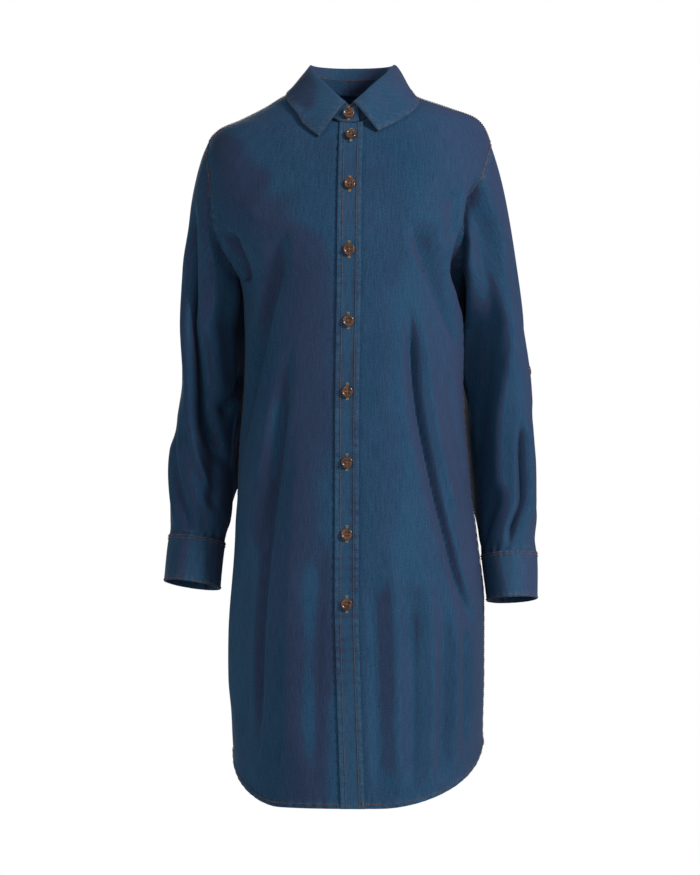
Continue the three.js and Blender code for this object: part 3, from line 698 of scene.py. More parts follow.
# %% Back panel
def back_panel(rows=220, cols=120):
    u = np.linspace(0, 1, cols)[None, :]
    v = hem_rows(rows)[:, None]

    def edge_to_edge(z):
        left = math.pi - panel_edge(1, z, YOKE_BACK_Z)
        right = math.pi + panel_edge(-1, z, YOKE_BACK_Z)
        return lerp(left, right, u)

    hem = hem_height(edge_to_edge(np.full_like(u, HEM_FRONT)))
    z = lerp(hem, YOKE_BACK_Z, v)
    points, normals = on_body(edge_to_edge(z), z)
    panel = Panel(narrow_hem(points, normals), normals, cloth=(edge_to_edge(z) * GIRTH, z))
    panel.wear("left right top bottom", 4, 7)
    panel.pucker("left right top", 13, 0.35, 10)
    return panel


BACK = back_panel()
sew("cloth_back", BACK, DENIM, "back")


# %% Yoke
def yoke_outer(p):
    """Outer edge of the yoke from its left front corner, over the back, to its right front corner."""
    share = 0.2
    forward = math.asin(YOKE_FORWARD / ARMHOLE_WIDTH)

    def back_turn(side):
        top, bottom = ARMHOLE[side]
        return -math.acos((YOKE_BACK_Z - (top + bottom) / 2) / ((top - bottom) / 2))

    left_angle, left_z = armhole(1, lerp(forward, back_turn(1), np.minimum(1, p / share)))
    right_angle, right_z = armhole(-1, lerp(back_turn(-1), forward, np.clip((p - 1 + share) / share, 0, 1)))
    right_angle = right_angle + 2 * math.pi
    across = np.clip((p - share) / (1 - 2 * share), 0, 1)
    angle = np.where(p <= share, left_angle, np.where(p >= 1 - share, right_angle, 0))
    start, end = armhole(1, back_turn(1))[0], armhole(-1, back_turn(-1))[0] + 2 * math.pi
    middle = (p > share) & (p < 1 - share)
    z = np.where(p <= share, left_z, np.where(p >= 1 - share, right_z, YOKE_BACK_Z))
    return np.where(middle, lerp(start, end, across), angle), z


def yoke_panel(rows=40, cols=190):
    p = np.linspace(0, 1, cols)[None, :]
    q = 1 - np.linspace(0, 1, rows)[:, None]
    inner_angle, inner_z = neckline(lerp(YOKE_CORNER, 2 * math.pi - YOKE_CORNER, p))
    outer_angle, outer_z = yoke_outer(p)
    points, normals = on_body(lerp(inner_angle, outer_angle, q), lerp(inner_z, outer_z, q))
    panel = Panel(points, normals)
    panel.wear("left right bottom", 4, 6)
    panel.pucker("bottom", 12, 0.3, 8)
    return panel


YOKE = yoke_panel()
sew("cloth_yoke", YOKE, DENIM, "yoke")

# %% [markdown]
# ## Front band
# The buttonhole band is a folded strip on the right front's edge. It stands off the front by its own
# thickness, stays closest at the buttons that hold it down, and its free edge on the wearer's left waves
# between them.

# %% Front band
def node_middle(name):
    low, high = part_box(name)
    return np.array((low + high) / 2) / MM


BUTTON_HEIGHTS = [node_middle(f"button_{i}")[2] for i in range(1, 9)]


def between_buttons(z):
    """0 at a button and 1 half way between two."""
    spans = np.interp(z, BUTTON_HEIGHTS[::-1], np.arange(len(BUTTON_HEIGHTS))[::-1])
    return np.sin(np.pi * spans) ** 2


def band_panel(rows=330, cols=15):
    x = np.linspace(-BAND_HALF, BAND_HALF, cols)[None, :]
    top = neckline(np.arcsin(x / NECK_HALF_WIDTH))[1] - 0.6
    v = toward_top(np.linspace(0, 1, rows))[:, None]
    z = lerp(HEM_FRONT, top, v)
    free = smooth((x / BAND_HALF - 0.1) / 0.9)
    wave = 0.5 * np.sin(z * 0.043) + 0.5 * np.sin(z * 0.021 + 1)
    lift = 2.3 + free * (0.7 + 1.0 * between_buttons(z) + 0.4 * wave)
    below = smooth((-430 - z) / 200)
    near_neck = np.exp(-(((z + 85) / 26) ** 2))
    gather = np.sin(z * 0.42 + 0.8 * np.sin(z * 0.05)) * (0.12 + 0.28 * below + 0.5 * near_neck)
    points, normals = on_body(front_line(x, z), z, lift + gather * (0.35 + 0.65 * np.abs(x / BAND_HALF)))
    panel = Panel(points, normals, cloth=(x, z))
    panel.wear("left right bottom", 3, 4)
    panel.pucker("left", 9, 0.25, 6)
    panel.pucker("right", 10, 0.3, 6)
    return panel


BAND = band_panel()
sew("cloth_band", BAND, DENIM_BAND, "placket", wall=DOUBLE_CLOTH * 0.8)
print("buttons in the band:", len(BUTTON_HEIGHTS))

# %% [markdown]
# ## Sleeves
# A sleeve is a tube. Below the armpit it is a stack of ovals that turn and tip a little; above it, each
# line of the tube bends from the slope of the shoulder to straight down. The folds are placed in degrees
# round the tube, where 0 is its outer side and 90 its front, and in height.

# %% Sleeve shapes
# sections are (height, distance out from the middle, distance back, half width, half depth)
SLEEVES = {
    -1: dict(side=-1, crown_reach=95, twist=28, fade=120, lean=0.13, tip=0.17,
             cuff_top=-608, cuff_bottom=-670,
             sections=[(-325, 186.5, 24, 33, 68), (-400, 187, 33, 34, 66), (-450, 192.3, 33, 37, 64),
                       (-500, 198.7, 28, 40, 61), (-560, 205, 18, 41.5, 54), (-608, 210.3, 9, 38.2, 43),
                       (-670, 216.2, -2, 38.2, 42)]),
    1: dict(side=1, crown_reach=58, twist=28, fade=70, lean=0.055, tip=0.14,
            cuff_top=-627, cuff_bottom=-689,
            sections=[(-325, 188, 24, 33.5, 68), (-400, 194.5, 33, 40, 66), (-450, 197.7, 34, 41.5, 64),
                      (-500, 202, 31, 41.5, 61), (-570, 206.2, 22, 38.3, 57), (-627, 211.4, 12, 37.8, 44),
                      (-689, 215.7, 1, 34.3, 47)]),
}
SLEEVE_FOLDS = {
    -1: [([(214, -235), (218, -285), (222, -350)], (24, 24), 9.0),
         ([(46, -150), (66, -200), (80, -240), (100, -300), (112, -351), (125, -433), (153, -485),
           (178, -515)], (12, 7.5), -27.0),
         ([(30, -180), (52, -260), (74, -340), (94, -430), (112, -480)], (13, 9), 4.0),
         ([(96, -170), (118, -240), (138, -320), (146, -390), (166, -450)], (13, 15), 8.0),
         ([(150, -250), (166, -320), (172, -400), (180, -455)], (13, 12), 7.0),
         ([(190, -380), (172, -412), (150, -442)], (9, 9), -9.0),
         ([(104, -450), (117, -500), (130, -545)], (8, 7), 5.0),
         ([(125, -190), (140, -225), (152, -262)], (7, 7), -5.0),
         ([(150, -480), (140, -530), (120, -570)], (12, 10), -6.0),
         ([(48, -440), (62, -500), (72, -560), (80, -604)], (10, 9), -5.0),
         ([(30, -460), (40, -530), (46, -600)], (10, 10), 4.0),
         ([(100, -560), (104, -585), (106, -606)], (7, 7), -3.5),
         ([(196, -450), (202, -520), (206, -590)], (12, 12), -6.0),
         ([(-40, -210), (-50, -300), (-58, -400)], (14, 8), -7.0),
         ([(-80, -300), (-92, -400), (-100, -500)], (13, 10), 6.0),
         ([(-60, -440), (-78, -520), (-90, -590)], (11, 8), -7.0),
         ([(-120, -380), (-130, -470), (-128, -560)], (12, 12), 5.0)],
    1: [([(214, -235), (216, -285), (218, -350)], (24, 24), 9.0),
        ([(60, -115), (92, -175), (118, -222), (130, -253), (150, -285), (176, -324), (186, -380),
          (190, -440)], (11, 8), 12.0),
        ([(104, -160), (136, -205), (156, -240), (180, -275), (205, -320)], (10, 15), -13.0),
        ([(88, -200), (101, -235), (123, -286), (141, -339), (153, -410), (168, -470), (180, -540)],
         (15, 12), -5.5),
        ([(90, -330), (118, -400), (134, -470), (138, -570)], (13, 12), 5.0),
        ([(84, -440), (96, -495), (98, -575), (86, -622)], (8, 6), -9.0),
        ([(56, -200), (68, -300), (80, -380)], (12, 9), -4.0),
        ([(66, -440), (74, -520), (72, -600)], (10, 10), 4.5),
        ([(40, -420), (46, -500), (50, -590)], (10, 8), -4.5),
        ([(140, -530), (150, -580), (152, -620)], (9, 9), -5.0),
        ([(12, -420), (10, -520), (14, -610)], (12, 10), 4.0),
        ([(-30, -230), (-40, -330), (-46, -430)], (14, 8), -7.0),
        ([(-70, -320), (-84, -420), (-90, -520)], (13, 12), 6.0),
        ([(-56, -460), (-70, -540), (-84, -610)], (11, 8), -7.0),
        ([(-118, -400), (-126, -490), (-124, -580)], (12, 12), 5.0)],
}


def section(sleeve, z, turn):
    """Points of a sleeve's plain form at a height and a turn."""
    table = sleeve["sections"]
    out, back, half_width, half_depth = (along([(row[0], row[k]) for row in table], z) for k in (1, 2, 3, 4))
    twist = math.radians(sleeve["twist"]) * smooth((z - sleeve["cuff_top"]) / sleeve["fade"])
    a, b = half_width * np.cos(turn), -half_depth * np.sin(turn)
    dx = sleeve["side"] * (a * np.cos(twist) - b * np.sin(twist))
    dy = a * np.sin(twist) + b * np.cos(twist)
    tilt = smooth((-325 - z) / 150) * (sleeve["side"] * sleeve["lean"] * dx - sleeve["tip"] * dy)
    return stacked(sleeve["side"] * out + dx, back + dy, z + tilt)


def grid_normals(points, ring):
    """Outward direction at each point of a grid whose rows go down and whose columns go round."""
    if ring:
        around = np.roll(points, -1, axis=1) - np.roll(points, 1, axis=1)
    else:
        around = np.gradient(points, axis=1)
    return unit(np.cross(around, np.gradient(points, axis=0)))


def cap(sleeve, turn, t):
    """The part from the armhole down to the first level oval."""
    side = sleeve["side"]
    crown = 0.5 + 0.5 * np.cos(turn)
    start, _ = on_body(*armhole(side, turn), lift=-0.5)
    end = section(sleeve, np.full_like(turn, sleeve["sections"][0][0]), turn)
    drop = start[..., 2] - end[..., 2]
    reach = side * lerp(-14, sleeve["crown_reach"], crown)
    leave = stacked(reach, -8 * np.sin(turn), -drop * lerp(0.5, 0.55, crown))
    arrive = stacked(0, 0, -drop * lerp(0.6, 1.1, crown))
    return hermite(t[..., None], start, leave, end, arrive)


def sleeve_relief(side, turn, z):
    """Fold height on a sleeve; one degree round it is close to 1 mm."""
    around = wrapped(turn)
    folds = [([(degrees / MM_PER_DEGREE, height) for degrees, height in path], widths, depth)
             for path, widths, depth in SLEEVE_FOLDS[side]]
    relief = fold_relief(folds, np.where(around < -140, around + 360, around), z)
    return relief + ripples(around * 1.3 + 40 * side, z * 1.2) * 0.9


# %% Sleeves
def sleeve_panel(side, cap_rows=52, arm_rows=78, cols=124):
    sleeve = SLEEVES[side]
    turn = side * 2 * math.pi * np.arange(cols)[None, :] / cols
    t = np.linspace(0, 1, cap_rows)[:, None]
    turns, ts = np.broadcast_arrays(turn, t)
    upper = cap(sleeve, turns, ts)
    z = np.linspace(sleeve["sections"][0][0], sleeve["cuff_top"] - 3, arm_rows)[1:, None]
    lower = section(sleeve, *np.broadcast_arrays(z, turn))
    points = np.concatenate((upper, lower))
    normals = grid_normals(points, True)
    all_turns = np.broadcast_to(turn, points.shape[:2])
    relief = sleeve_relief(side, all_turns, points[..., 2])
    to_seam = np.concatenate((ts, np.ones((arm_rows - 1, cols))))
    to_cuff = np.clip((points[..., 2] - sleeve["cuff_top"]) / 26, 0, 1)
    near_cuff = np.exp(-(((to_cuff - 0.1) / 0.5) ** 2))
    gathers = 1.3 * np.sin(all_turns * 15 + 1.2 * np.sin(all_turns * 3)) * near_cuff
    relief = relief * smooth(to_seam / 0.3) * smooth(to_cuff * 1.2) + (gathers - 1.6) * (1 - smooth(to_cuff))
    points = (points + normals * relief[..., None])[::-1]
    grain = (side * np.unwrap(all_turns) * 62, np.concatenate((lerp(-70, -325, t), z))[::-1])
    panel = Panel(points, grid_normals(points[::-1], True)[::-1], ring=True, cloth=grain)
    panel.wear("bottom", 4, 6)
    panel.wear("top", 3, 7)
    panel.pucker("top", 12, 0.35, 10)
    return panel


SLEEVE_PANELS = {side: sleeve_panel(side) for side in (-1, 1)}
sew("cloth_sleeve_right", SLEEVE_PANELS[-1], DENIM, "sleeve_right")
sew("cloth_sleeve_left", SLEEVE_PANELS[1], DENIM, "sleeve_left")

# %% [markdown]
# ## Cuffs and slits
# A cuff is a doubled band round the wrist. Its end laps over itself at the back, where a button holds it.
# The slit above it has a narrow binding.

# %% Cuffs
CUFF_START = -0.62 * math.pi
CUFF_LAP = 0.55
CUFF_LAP_LIFT = 3.0
SLIT_LENGTH = 120
SLIT_HALF_TURN = math.radians(9)


def on_sleeve(side, z, turn, lift):
    sleeve = SLEEVES[side]
    point = section(sleeve, z, turn)
    around = section(sleeve, z, turn + 0.05) - section(sleeve, z, turn - 0.05)
    up = section(sleeve, z + 3, turn) - section(sleeve, z - 3, turn)
    normal = unit(np.cross(up, around)) * side
    return point + normal * lift[..., None], normal


def cuff_panel(side, rows=22, cols=150):
    sleeve = SLEEVES[side]
    sweep = np.linspace(0, 2 * math.pi + CUFF_LAP, cols)[None, :]
    z = np.linspace(sleeve["cuff_bottom"], sleeve["cuff_top"], rows)[:, None]
    sweep, z = np.broadcast_arrays(sweep, z)
    share = (z - sleeve["cuff_bottom"]) / (sleeve["cuff_top"] - sleeve["cuff_bottom"])
    soft = 0.7 * np.sin(sweep * 3 + share * 2) + 0.5 * np.sin(sweep * 7 + 1 - share * 3)
    lift = CUFF_LAP_LIFT * smooth((sweep - 2 * math.pi + 0.7) / 0.7) + soft * 0.6
    points, normals = on_sleeve(side, z, CUFF_START + sweep, lift)
    if side > 0:
        points, normals = points[:, ::-1], normals[:, ::-1]
    panel = Panel(points, normals)
    panel.wear("top bottom left right", 3, 4)
    panel.pucker("top", 10, 0.4, 8)
    panel.pucker("bottom", 10, 0.3, 6)
    return panel


CUFFS = {side: cuff_panel(side) for side in (-1, 1)}
sew("cloth_cuff_right", CUFFS[-1], DENIM_BAND, "cuff_right", wall=DOUBLE_CLOTH)
sew("cloth_cuff_left", CUFFS[1], DENIM_BAND, "cuff_left", wall=DOUBLE_CLOTH)


# %% Slit bindings
def slit_panel(side, rows=40, cols=10):
    sleeve = SLEEVES[side]
    z = np.linspace(sleeve["cuff_top"] + 2, sleeve["cuff_top"] + SLIT_LENGTH, rows)[:, None]
    turn = CUFF_START + CUFF_LAP + np.linspace(-SLIT_HALF_TURN, SLIT_HALF_TURN, cols)[None, :]
    z, turn = np.broadcast_arrays(z, turn)
    height = sleeve_relief(side, turn, z) * smooth((z - sleeve["cuff_top"]) / 26 * 1.2)
    points, normals = on_sleeve(side, z, turn, height + 1.4)
    if side > 0:
        points, normals = points[:, ::-1], normals[:, ::-1]
    panel = Panel(points, normals)
    panel.wear("left right top", 2, 3)
    return panel


SLITS = {side: slit_panel(side) for side in (-1, 1)}
sew("cloth_slit_right", SLITS[-1], DENIM_BAND, "sleeve_placket_right")
sew("cloth_slit_left", SLITS[1], DENIM_BAND, "sleeve_placket_left")

# %% [markdown]
# ## Collar
# The stand is one strip round the neck whose right end laps over the left. The fall rises from it, rolls
# over and lies down on the shoulders. Each line of the fall is one curve from the roll down to the edge, so
# the roll stays round and the points lie flat.

# %% Collar shapes
ROLL_HALF_WIDTH, ROLL_FRONT, ROLL_BACK = 54, 63, 47
ROLL_HEIGHT = [(0, -28), (45, 4), (90, 21), (180, 18)]
ROLL_RISE = [(0, 3), (60, 8), (90, 9.5), (180, 13)]
ROLL_SPREAD = [(4, 0.5), (90, 0.35), (180, 0.5), (270, -0.6), (356, 0.5)]
STAND_LAP = 3.2
TAB_DROP = 6
FALL_EDGE = [(4, 12, -66), (40, 34, -35), (90, 90, -7), (135, 138, -20), (180, 180, -24), (225, 222, -18),
             (270, 270, -5), (320, 328, -36), (356, 348.5, -72)]


def outward(angle):
    return stacked(np.sin(angle), -np.cos(angle), 0.0)


def from_front(angle):
    """Degrees between an angle and the front, on either side."""
    return np.abs(wrapped(angle))


def roll_line(angle):
    depth = np.where(np.cos(angle) > 0, ROLL_FRONT, ROLL_BACK)
    height = along(ROLL_HEIGHT, from_front(angle))
    return stacked(ROLL_HALF_WIDTH * np.sin(angle), -depth * np.cos(angle), height)


def stand_lap(angle):
    return STAND_LAP * smooth((np.degrees(angle) - 290) / 40)


def raised(points, height):
    return points + stacked(0.0, 0.0, height)


def stand_panel(rows=14, cols=220):
    angle = np.radians(np.linspace(-9, 371, cols))[None, :]
    share = np.linspace(0, 1, rows)[:, None]
    seam_angle, seam_z = neckline(np.where(angle > math.pi, angle - 2 * math.pi, angle))
    seam = torso(seam_angle, seam_z + 1.0)
    top = raised(roll_line(angle), -TAB_DROP * smooth((np.degrees(angle) - 350) / 15))
    points = lerp(seam, top, share[..., None]) + outward(angle) * stand_lap(angle)[..., None]
    panel = Panel(points, grid_normals(points, False))
    panel.wear("top bottom", 2, 3)
    panel.pucker("bottom", 9, 0.25, 5)
    return panel


STAND = stand_panel()
sew("cloth_stand", STAND, DENIM, "collar_stand", wall=DOUBLE_CLOTH)


# %% Collar fall
def fall_panel(rows=34, cols=210):
    degrees = np.linspace(3, 357, cols)[None, :]
    angle = np.radians(degrees)
    share = (np.linspace(0, 1, rows)[:, None] ** 1.15)[..., None]
    rise = along(ROLL_RISE, from_front(angle))
    edge_angle, edge_z = (along([(row[0], row[k]) for row in FALL_EDGE], degrees) for k in (1, 2))
    inside = (stand_lap(angle) - 0.5 * DOUBLE_CLOTH)[..., None]
    start = raised(roll_line(angle) + outward(angle) * inside, -1.0)
    over_tab = (STAND_LAP + 1.5) * smooth((28 - degrees) / 14)
    end, _ = on_body(np.radians(edge_angle), edge_z, lift=DOUBLE_CLOTH + 1.6)
    over = raised(start + outward(angle) * (1 + over_tab)[..., None], 3 * rise)
    lean_out = along(ROLL_SPREAD, degrees) * rise + over_tab
    under = raised(lerp(start, end, 0.45) + outward(angle) * lean_out[..., None], 1.3 * rise)
    points = ((1 - share) ** 3 * start + 3 * (1 - share) ** 2 * share * over
              + 3 * (1 - share) * share**2 * under + share**3 * end)
    normals = -grid_normals(points, False)[::-1]
    panel = Panel(points[::-1], normals)
    wave = 0.5 * np.sin(panel.across * 0.055) + 0.35 * np.sin(panel.across * 0.11 + 1)
    panel.points = panel.points + normals * (wave * np.exp(-panel.from_edge("bottom") / 22))[..., None]
    panel.wear("left right bottom", 4, 5)
    panel.pucker("bottom", 11, 0.2, 8)
    return panel


FALL = fall_panel()
sew("cloth_fall", FALL, DENIM_BAND, "collar_fall", wall=DOUBLE_CLOTH)

# %% [markdown]
# ## Stitches
# Topstitching is thick copper thread, each stitch about 3 mm long and sunk at its ends. A dashed texture
# would vanish at an edge-on view, so every stitch is a small capsule that lies on the cloth along its line.
# All the stitches of one colour join into one mesh.

# %% Thread helpers
def thread_material(name, colour, rough):
    material, tree, surface = new_material(name)
    space = node(tree, "TexCoord").outputs["Object"]
    fray = stretched_noise(tree, space, (900, 900, 900), 2.0, 0.6)
    dark = tuple(channel * 0.6 for channel in colour)
    mottled = blend_colours(tree, remap(tree, fray, 0.35, 0.65, 0, 1), dark, colour)
    tree.links.new(mottled, surface.inputs["Base Color"])
    surface.inputs["Roughness"].default_value = rough
    bump = node(tree, "Bump", Strength=0.4, Distance=0.0002)
    tree.links.new(fray, bump.inputs["Height"])
    tree.links.new(bump.outputs["Normal"], surface.inputs["Normal"])
    return material


COPPER = thread_material("copper_thread", (0.17, 0.085, 0.05), 0.65)
TAN = thread_material("tan_thread", (0.30, 0.20, 0.10), 0.6)
RINGS = [(0.0, 0.35), (0.14, 0.85), (0.5, 1.0), (0.86, 0.85), (1.0, 0.35)]
SIDES = 5


def capsules(starts, ends, outs, radius, arch=0.25):
    """Points and faces of one small thread for each start and end."""
    run = ends - starts
    across = unit(np.cross(run, outs))
    turn = np.arange(SIDES) * 2 * math.pi / SIDES
    rings = []
    for share, size in RINGS:
        middle = starts + run * share + outs * (arch * radius * math.sin(math.pi * share) * 2)
        around = (across[:, None] * np.cos(turn)[None, :, None] + outs[:, None] * np.sin(turn)[None, :, None])
        rings.append(middle[:, None] + around * radius * size)
    points = np.stack(rings, axis=1).reshape(-1, 3)
    count = len(RINGS) * SIDES
    faces = []
    for ring in range(len(RINGS) - 1):
        for k in range(SIDES):
            a, b = ring * SIDES + k, ring * SIDES + (k + 1) % SIDES
            faces.append((a, b, b + SIDES, a + SIDES))
    base = np.arange(len(starts))[:, None, None] * count
    quads = (np.array(faces)[None] + base).reshape(-1, 4).tolist()
    ends_low = (np.arange(SIDES)[::-1][None, None] + base).reshape(-1, SIDES).tolist()
    ends_top = ((np.arange(SIDES) + count - SIDES)[None, None] + base).reshape(-1, SIDES).tolist()
    return points, quads + ends_low + ends_top


STITCHES = {"copper": ([], []), "tan": ([], [])}


def add_thread(colour, starts, ends, outs, radius):
    points, faces = capsules(starts, ends, outs, radius)
    all_points, all_faces = STITCHES[colour]
    offset = sum(len(p) for p in all_points)
    all_points.append(points)
    all_faces.extend([[k + offset for k in face] for face in faces])


def stitch_line(points, outs, pitch=3.4, length=2.5, radius=0.42, lift=0.25, closed=False, colour="copper"):
    """A row of stitches along a line."""
    if closed:
        points, outs = np.vstack((points, points[:1])), np.vstack((outs, outs[:1]))
    run = np.concatenate(([0], np.cumsum(np.linalg.norm(np.diff(points, axis=0), axis=1))))
    count = max(1, int(run[-1] / pitch))
    begin = np.arange(count) * pitch + 0.4
    finish = np.minimum(begin + length, run[-1])

    def at(values, where):
        return np.stack([np.interp(where, run, values[:, axis]) for axis in range(3)], axis=1)

    out = unit(at(outs, (begin + finish) / 2))
    add_thread(colour, at(points, begin) + out * lift, at(points, finish) + out * lift, out, radius)
    return count


# %% Seam stitches
def stitch_panel(panel, edges, insets, above=HEM_FRONT - 100, **thread):
    total = 0
    for edge in edges.split():
        for inset in insets:
            points, outs = panel.line(edge, inset, lift=0.25)
            kept = points[:, 2] > above
            total += stitch_line(points[kept], outs[kept], closed=panel.ring, **thread)
    return total


MID_ARMHOLE_Z = -150
count = stitch_panel(BAND, "left right", (7.0,))
for panel in (FRONTS[-1], FRONTS[1], BACK):
    count += stitch_panel(panel, "bottom", (6.0,))
count += stitch_panel(YOKE, "bottom", (1.8, 7.5))
count += stitch_panel(FRONTS[-1], "left", (1.8, 7.5), above=MID_ARMHOLE_Z)
count += stitch_panel(FRONTS[1], "right", (1.8, 7.5), above=MID_ARMHOLE_Z)
count += stitch_panel(BACK, "left right", (4.0, 10.0))
count += stitch_panel(YOKE, "left right", (1.8, 7.5))
count += stitch_panel(FALL, "bottom left right", (2.2,), radius=0.34)
count += stitch_panel(STAND, "bottom top", (1.8,))
points, outs = STAND.line("top", 1.8, -DOUBLE_CLOTH)
count += stitch_line(points, -outs)
for side in (-1, 1):
    count += stitch_panel(CUFFS[side], "top bottom", (2.0,))
    count += stitch_panel(CUFFS[side], "top", (5.5,))
    count += stitch_panel(SLITS[side], "left right", (1.5,))
print("seam stitches:", count)

# %% [markdown]
# ## Buttons and buttonholes
# The buttons are polished horn-brown resin with a rim, a dished face and four holes, and crossed threads
# hold them. Behind each one is an upright buttonhole 23 mm long, worked in close tan stitches that show
# above and below it. Each button sits where its CAD node does, on the folded cloth.

# %% Button material
def horn_material():
    material, tree, surface = new_material("horn")
    space = node(tree, "TexCoord").outputs["Object"]
    swirl = stretched_noise(tree, space, (170, 170, 80), 4.0, 0.55)
    fleck = stretched_noise(tree, space, (520, 520, 260), 2.0, 0.6)
    mixed = combine(tree, "ADD", combine(tree, "MULTIPLY", swirl, 0.8), combine(tree, "MULTIPLY", fleck, 0.25))
    tone = remap(tree, mixed, 0.38, 0.66, 0, 1)
    colour = blend_colours(tree, tone, (0.012, 0.006, 0.004), (0.15, 0.055, 0.02))
    tree.links.new(colour, surface.inputs["Base Color"])
    tree.links.new(remap(tree, fleck, 0.3, 0.7, 0.16, 0.3), surface.inputs["Roughness"])
    surface.inputs["Coat Weight"].default_value = 0.5
    surface.inputs["Coat Roughness"].default_value = 0.12
    return material


HORN = horn_material()

# %% One button
HOLE_RADIUS, HOLE_PLACE = 0.85, 2.0
PROFILE = [(0, 2.0), (3.6, 2.02), (4.6, 2.15), (5.4, 2.75), (6.0, 3.0), (6.6, 2.95), (7.2, 2.55), (7.55, 1.9),
           (7.6, 1.4)]


def button_mesh(rings=34, sides=56):
    """Face, rim and back of a button whose middle is at 0 and whose face looks along +Z."""
    reach = np.concatenate(([0.0], np.linspace(0.25, 4.4, 20), np.linspace(4.6, 7.6, rings - 21)))
    turn = np.arange(sides) * 2 * math.pi / sides
    radius, angle = np.meshgrid(reach[1:], turn, indexing="ij")
    x, y = radius * np.cos(angle), radius * np.sin(angle)
    height = along(PROFILE, radius)
    for hx in (-1, 1):
        for hy in (-1, 1):
            distance = np.hypot(x - hx * HOLE_PLACE, y - hy * HOLE_PLACE)
            height = height - 1.7 * (1 - smooth((distance - HOLE_RADIUS * 0.75) / (HOLE_RADIUS * 0.6)))
    face = np.stack([x, y, height], axis=-1).reshape(-1, 3)
    low = np.stack([7.4 * np.cos(turn), 7.4 * np.sin(turn), np.full(sides, 0.5)], axis=1)
    back = np.stack([6.6 * np.cos(turn), 6.6 * np.sin(turn), np.zeros(sides)], axis=1)
    points = np.vstack(([[0, 0, 2.0]], face, low, back, [[0, 0, 0]]))
    faces = [[0, 1 + k, 1 + (k + 1) % sides] for k in range(sides)]
    for r in range(len(reach)):
        for k in range(sides):
            a, b = 1 + r * sides + k, 1 + r * sides + (k + 1) % sides
            faces.append([a, a + sides, b + sides, b])
    last = len(points) - 1
    faces += [[last, last - sides + (k + 1) % sides, last - sides + k] for k in range(sides)]
    return points, faces


BUTTON_POINTS, BUTTON_FACES = button_mesh()


def facing(out, up=(0, 0, 1)):
    """Three directions for a piece that faces out with its top toward up."""
    out = unit(np.asarray(out, float))
    across = unit(np.cross(up, out))
    return across, np.cross(out, across), out


def place_button(name, replaced, place, out):
    axes = np.stack(facing(out))
    points = place + BUTTON_POINTS @ axes
    obj = mesh_object(name, points, BUTTON_FACES, HORN, sharp=50)
    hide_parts(replaced)
    across, up, out = axes
    for sx, sy in ((1, 1), (-1, 1)):
        start = place - across * HOLE_PLACE * sx - up * HOLE_PLACE * sy + out * 1.9
        end = place + across * HOLE_PLACE * sx + up * HOLE_PLACE * sy + out * 1.9
        for shift in (-0.32, 0.32):
            aside = unit(np.cross(end - start, out)) * shift
            add_thread("copper", (start + aside)[None], (end + aside)[None], out[None], 0.3)


def work_buttonhole(place, out, length, up=(0, 0, 1)):
    """Close stitches across both lips of an upright slit, and a bar at each end."""
    across, upward, out = facing(out, up)
    place = place + out * 0.1
    steps = np.arange(-length / 2 + 1.2, length / 2 - 1.1, 0.62)[:, None]
    bars = np.arange(-1.7, 1.8, 0.55)[:, None]
    for places, reach, near, far in ((upward * steps, across, 0.15, 1.75),
                                     (across * bars, upward, length / 2 - 1.6, length / 2)):
        for side in (-1, 1):
            middle = place + places
            outs = np.repeat(out[None], len(places), 0)
            add_thread("tan", middle + reach * side * near, middle + reach * side * far, outs, 0.36)


# %% Buttons
BUTTONHOLE, SHORT_BUTTONHOLE = 23.0, 19.0


def nearest(panel, place):
    """Place and outward direction of the panel's point nearest to a place in mm."""
    flat = panel.points.reshape(-1, 3)
    k = int(np.argmin(((flat - place) ** 2).sum(1)))
    return flat[k], unit(panel.normals.reshape(-1, 3)[k])


for i in range(1, 9):
    middle = node_middle(f"button_{i}")
    place, out = nearest(BAND, middle)
    place = np.array([middle[0], place[1], middle[2]])
    place_button(f"button_front_{i}", f"button_{i}", place + out * 0.9, out)
    work_buttonhole(place, out, BUTTONHOLE)

place, out = nearest(STAND, node_middle("button_stand"))
place_button("button_neck", "button_stand", place + out * 0.7, out)
work_buttonhole(place, out, SHORT_BUTTONHOLE)
for side, word in ((-1, "right"), (1, "left")):
    place, out = nearest(SLEEVE_PANELS[side], node_middle(f"button_tab_{word}"))
    place_button(f"button_sleeve_{word}", f"button_tab_{word}", place + out * 1.2, out)
    place, out = nearest(CUFFS[side], node_middle(f"button_cuff_{word}"))
    place_button(f"button_wrist_{word}", f"button_cuff_{word}", place + out * 0.9, out)
    work_buttonhole(place, out, SHORT_BUTTONHOLE, up=(0, 1, 0))
print("button faces:", len(BUTTON_FACES))

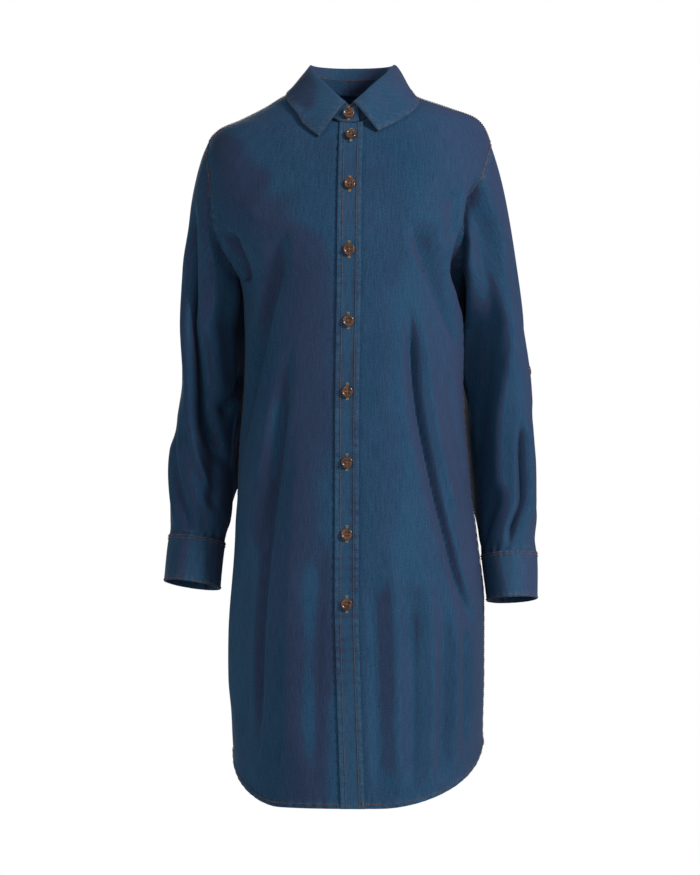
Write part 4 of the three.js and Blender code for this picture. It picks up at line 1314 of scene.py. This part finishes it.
# %% Bar at the hem and box at the sleeve
corner, out = nearest(BAND, np.array([BAND_HALF + 7, -140, HEM_FRONT + 7]))
across, up, out = facing(out)
bars = np.arange(-3.5, 3.6, 0.6)[:, None]
rungs = corner + up * bars + out * 0.5
add_thread("copper", rungs - across, rungs + across, np.repeat(out[None], len(bars), 0), 0.4)
BOX_CORNERS = ((-9, -11), (9, -11), (9, 11), (-9, 11))
for side, word in ((-1, "right"), (1, "left")):
    place, out = nearest(SLEEVE_PANELS[side], node_middle(f"button_tab_{word}"))
    across, up, out = facing(out)
    box = np.array([place + across * a + up * b + out * 0.5 for a, b in BOX_CORNERS])
    stitch_line(box, np.repeat(out[None], 4, 0), pitch=3.2, closed=True)

# %% Join the threads
THREADS = {"copper": COPPER, "tan": TAN}
for colour, (points, faces) in STITCHES.items():
    thread = mesh_object(f"thread_{colour}", np.vstack(points), faces, THREADS[colour],
                         sharp=80)
    print(thread.name, "faces:", len(faces))

# %% [markdown]
# ## Light
# Soft studio light comes from a bright white surround, and one large soft light in front, to the wearer's
# left. The surround fills the shadows and the large light shapes the folds. A pale floor disc lies well
# under the hem.

# %% Light and floor
world = bpy.data.worlds.new("surround")
world.use_nodes = True
background = world.node_tree.nodes["Background"]
background.inputs["Color"].default_value = (1, 1, 1, 1)
seen = node(world.node_tree, "LightPath").outputs["Is Camera Ray"]
world.node_tree.links.new(remap(world.node_tree, seen, 0, 1, 0.36, 1), background.inputs["Strength"])
bpy.context.scene.world = world
bpy.context.scene.view_settings.view_transform = "Standard"


def soft_light(name, place, size, power):
    data = bpy.data.lights.new(name, "AREA")
    data.shape, data.size, data.energy = "DISK", size, power
    light = add_object(name, data)
    light.location = place
    light.rotation_euler = (MIDDLE - Vector(place)).to_track_quat("-Z", "Y").to_euler()


soft_light("main_light", (2.9, -2.0, 1.3), 0.8, 150)
soft_light("side_light", (-2.3, -2.2, 0.1), 1.4, 13)
soft_light("back_light", (-1.6, 3.2, 1.2), 1.4, 60)


def floor_disc(height=-2.0, radius=2.0, sides=96):
    turn = np.arange(sides) * 2 * math.pi / sides
    points = [(radius * math.cos(t), radius * math.sin(t), height) for t in turn]
    mesh = bpy.data.meshes.new("floor")
    mesh.from_pydata(points, [], [tuple(range(sides))])
    obj = add_object("floor", mesh)
    material, _, surface = new_material("pale_floor")
    surface.inputs["Base Color"].default_value = (0.85, 0.85, 0.85, 1)
    surface.inputs["Roughness"].default_value = 0.7
    mesh.materials.append(material)


floor_disc()
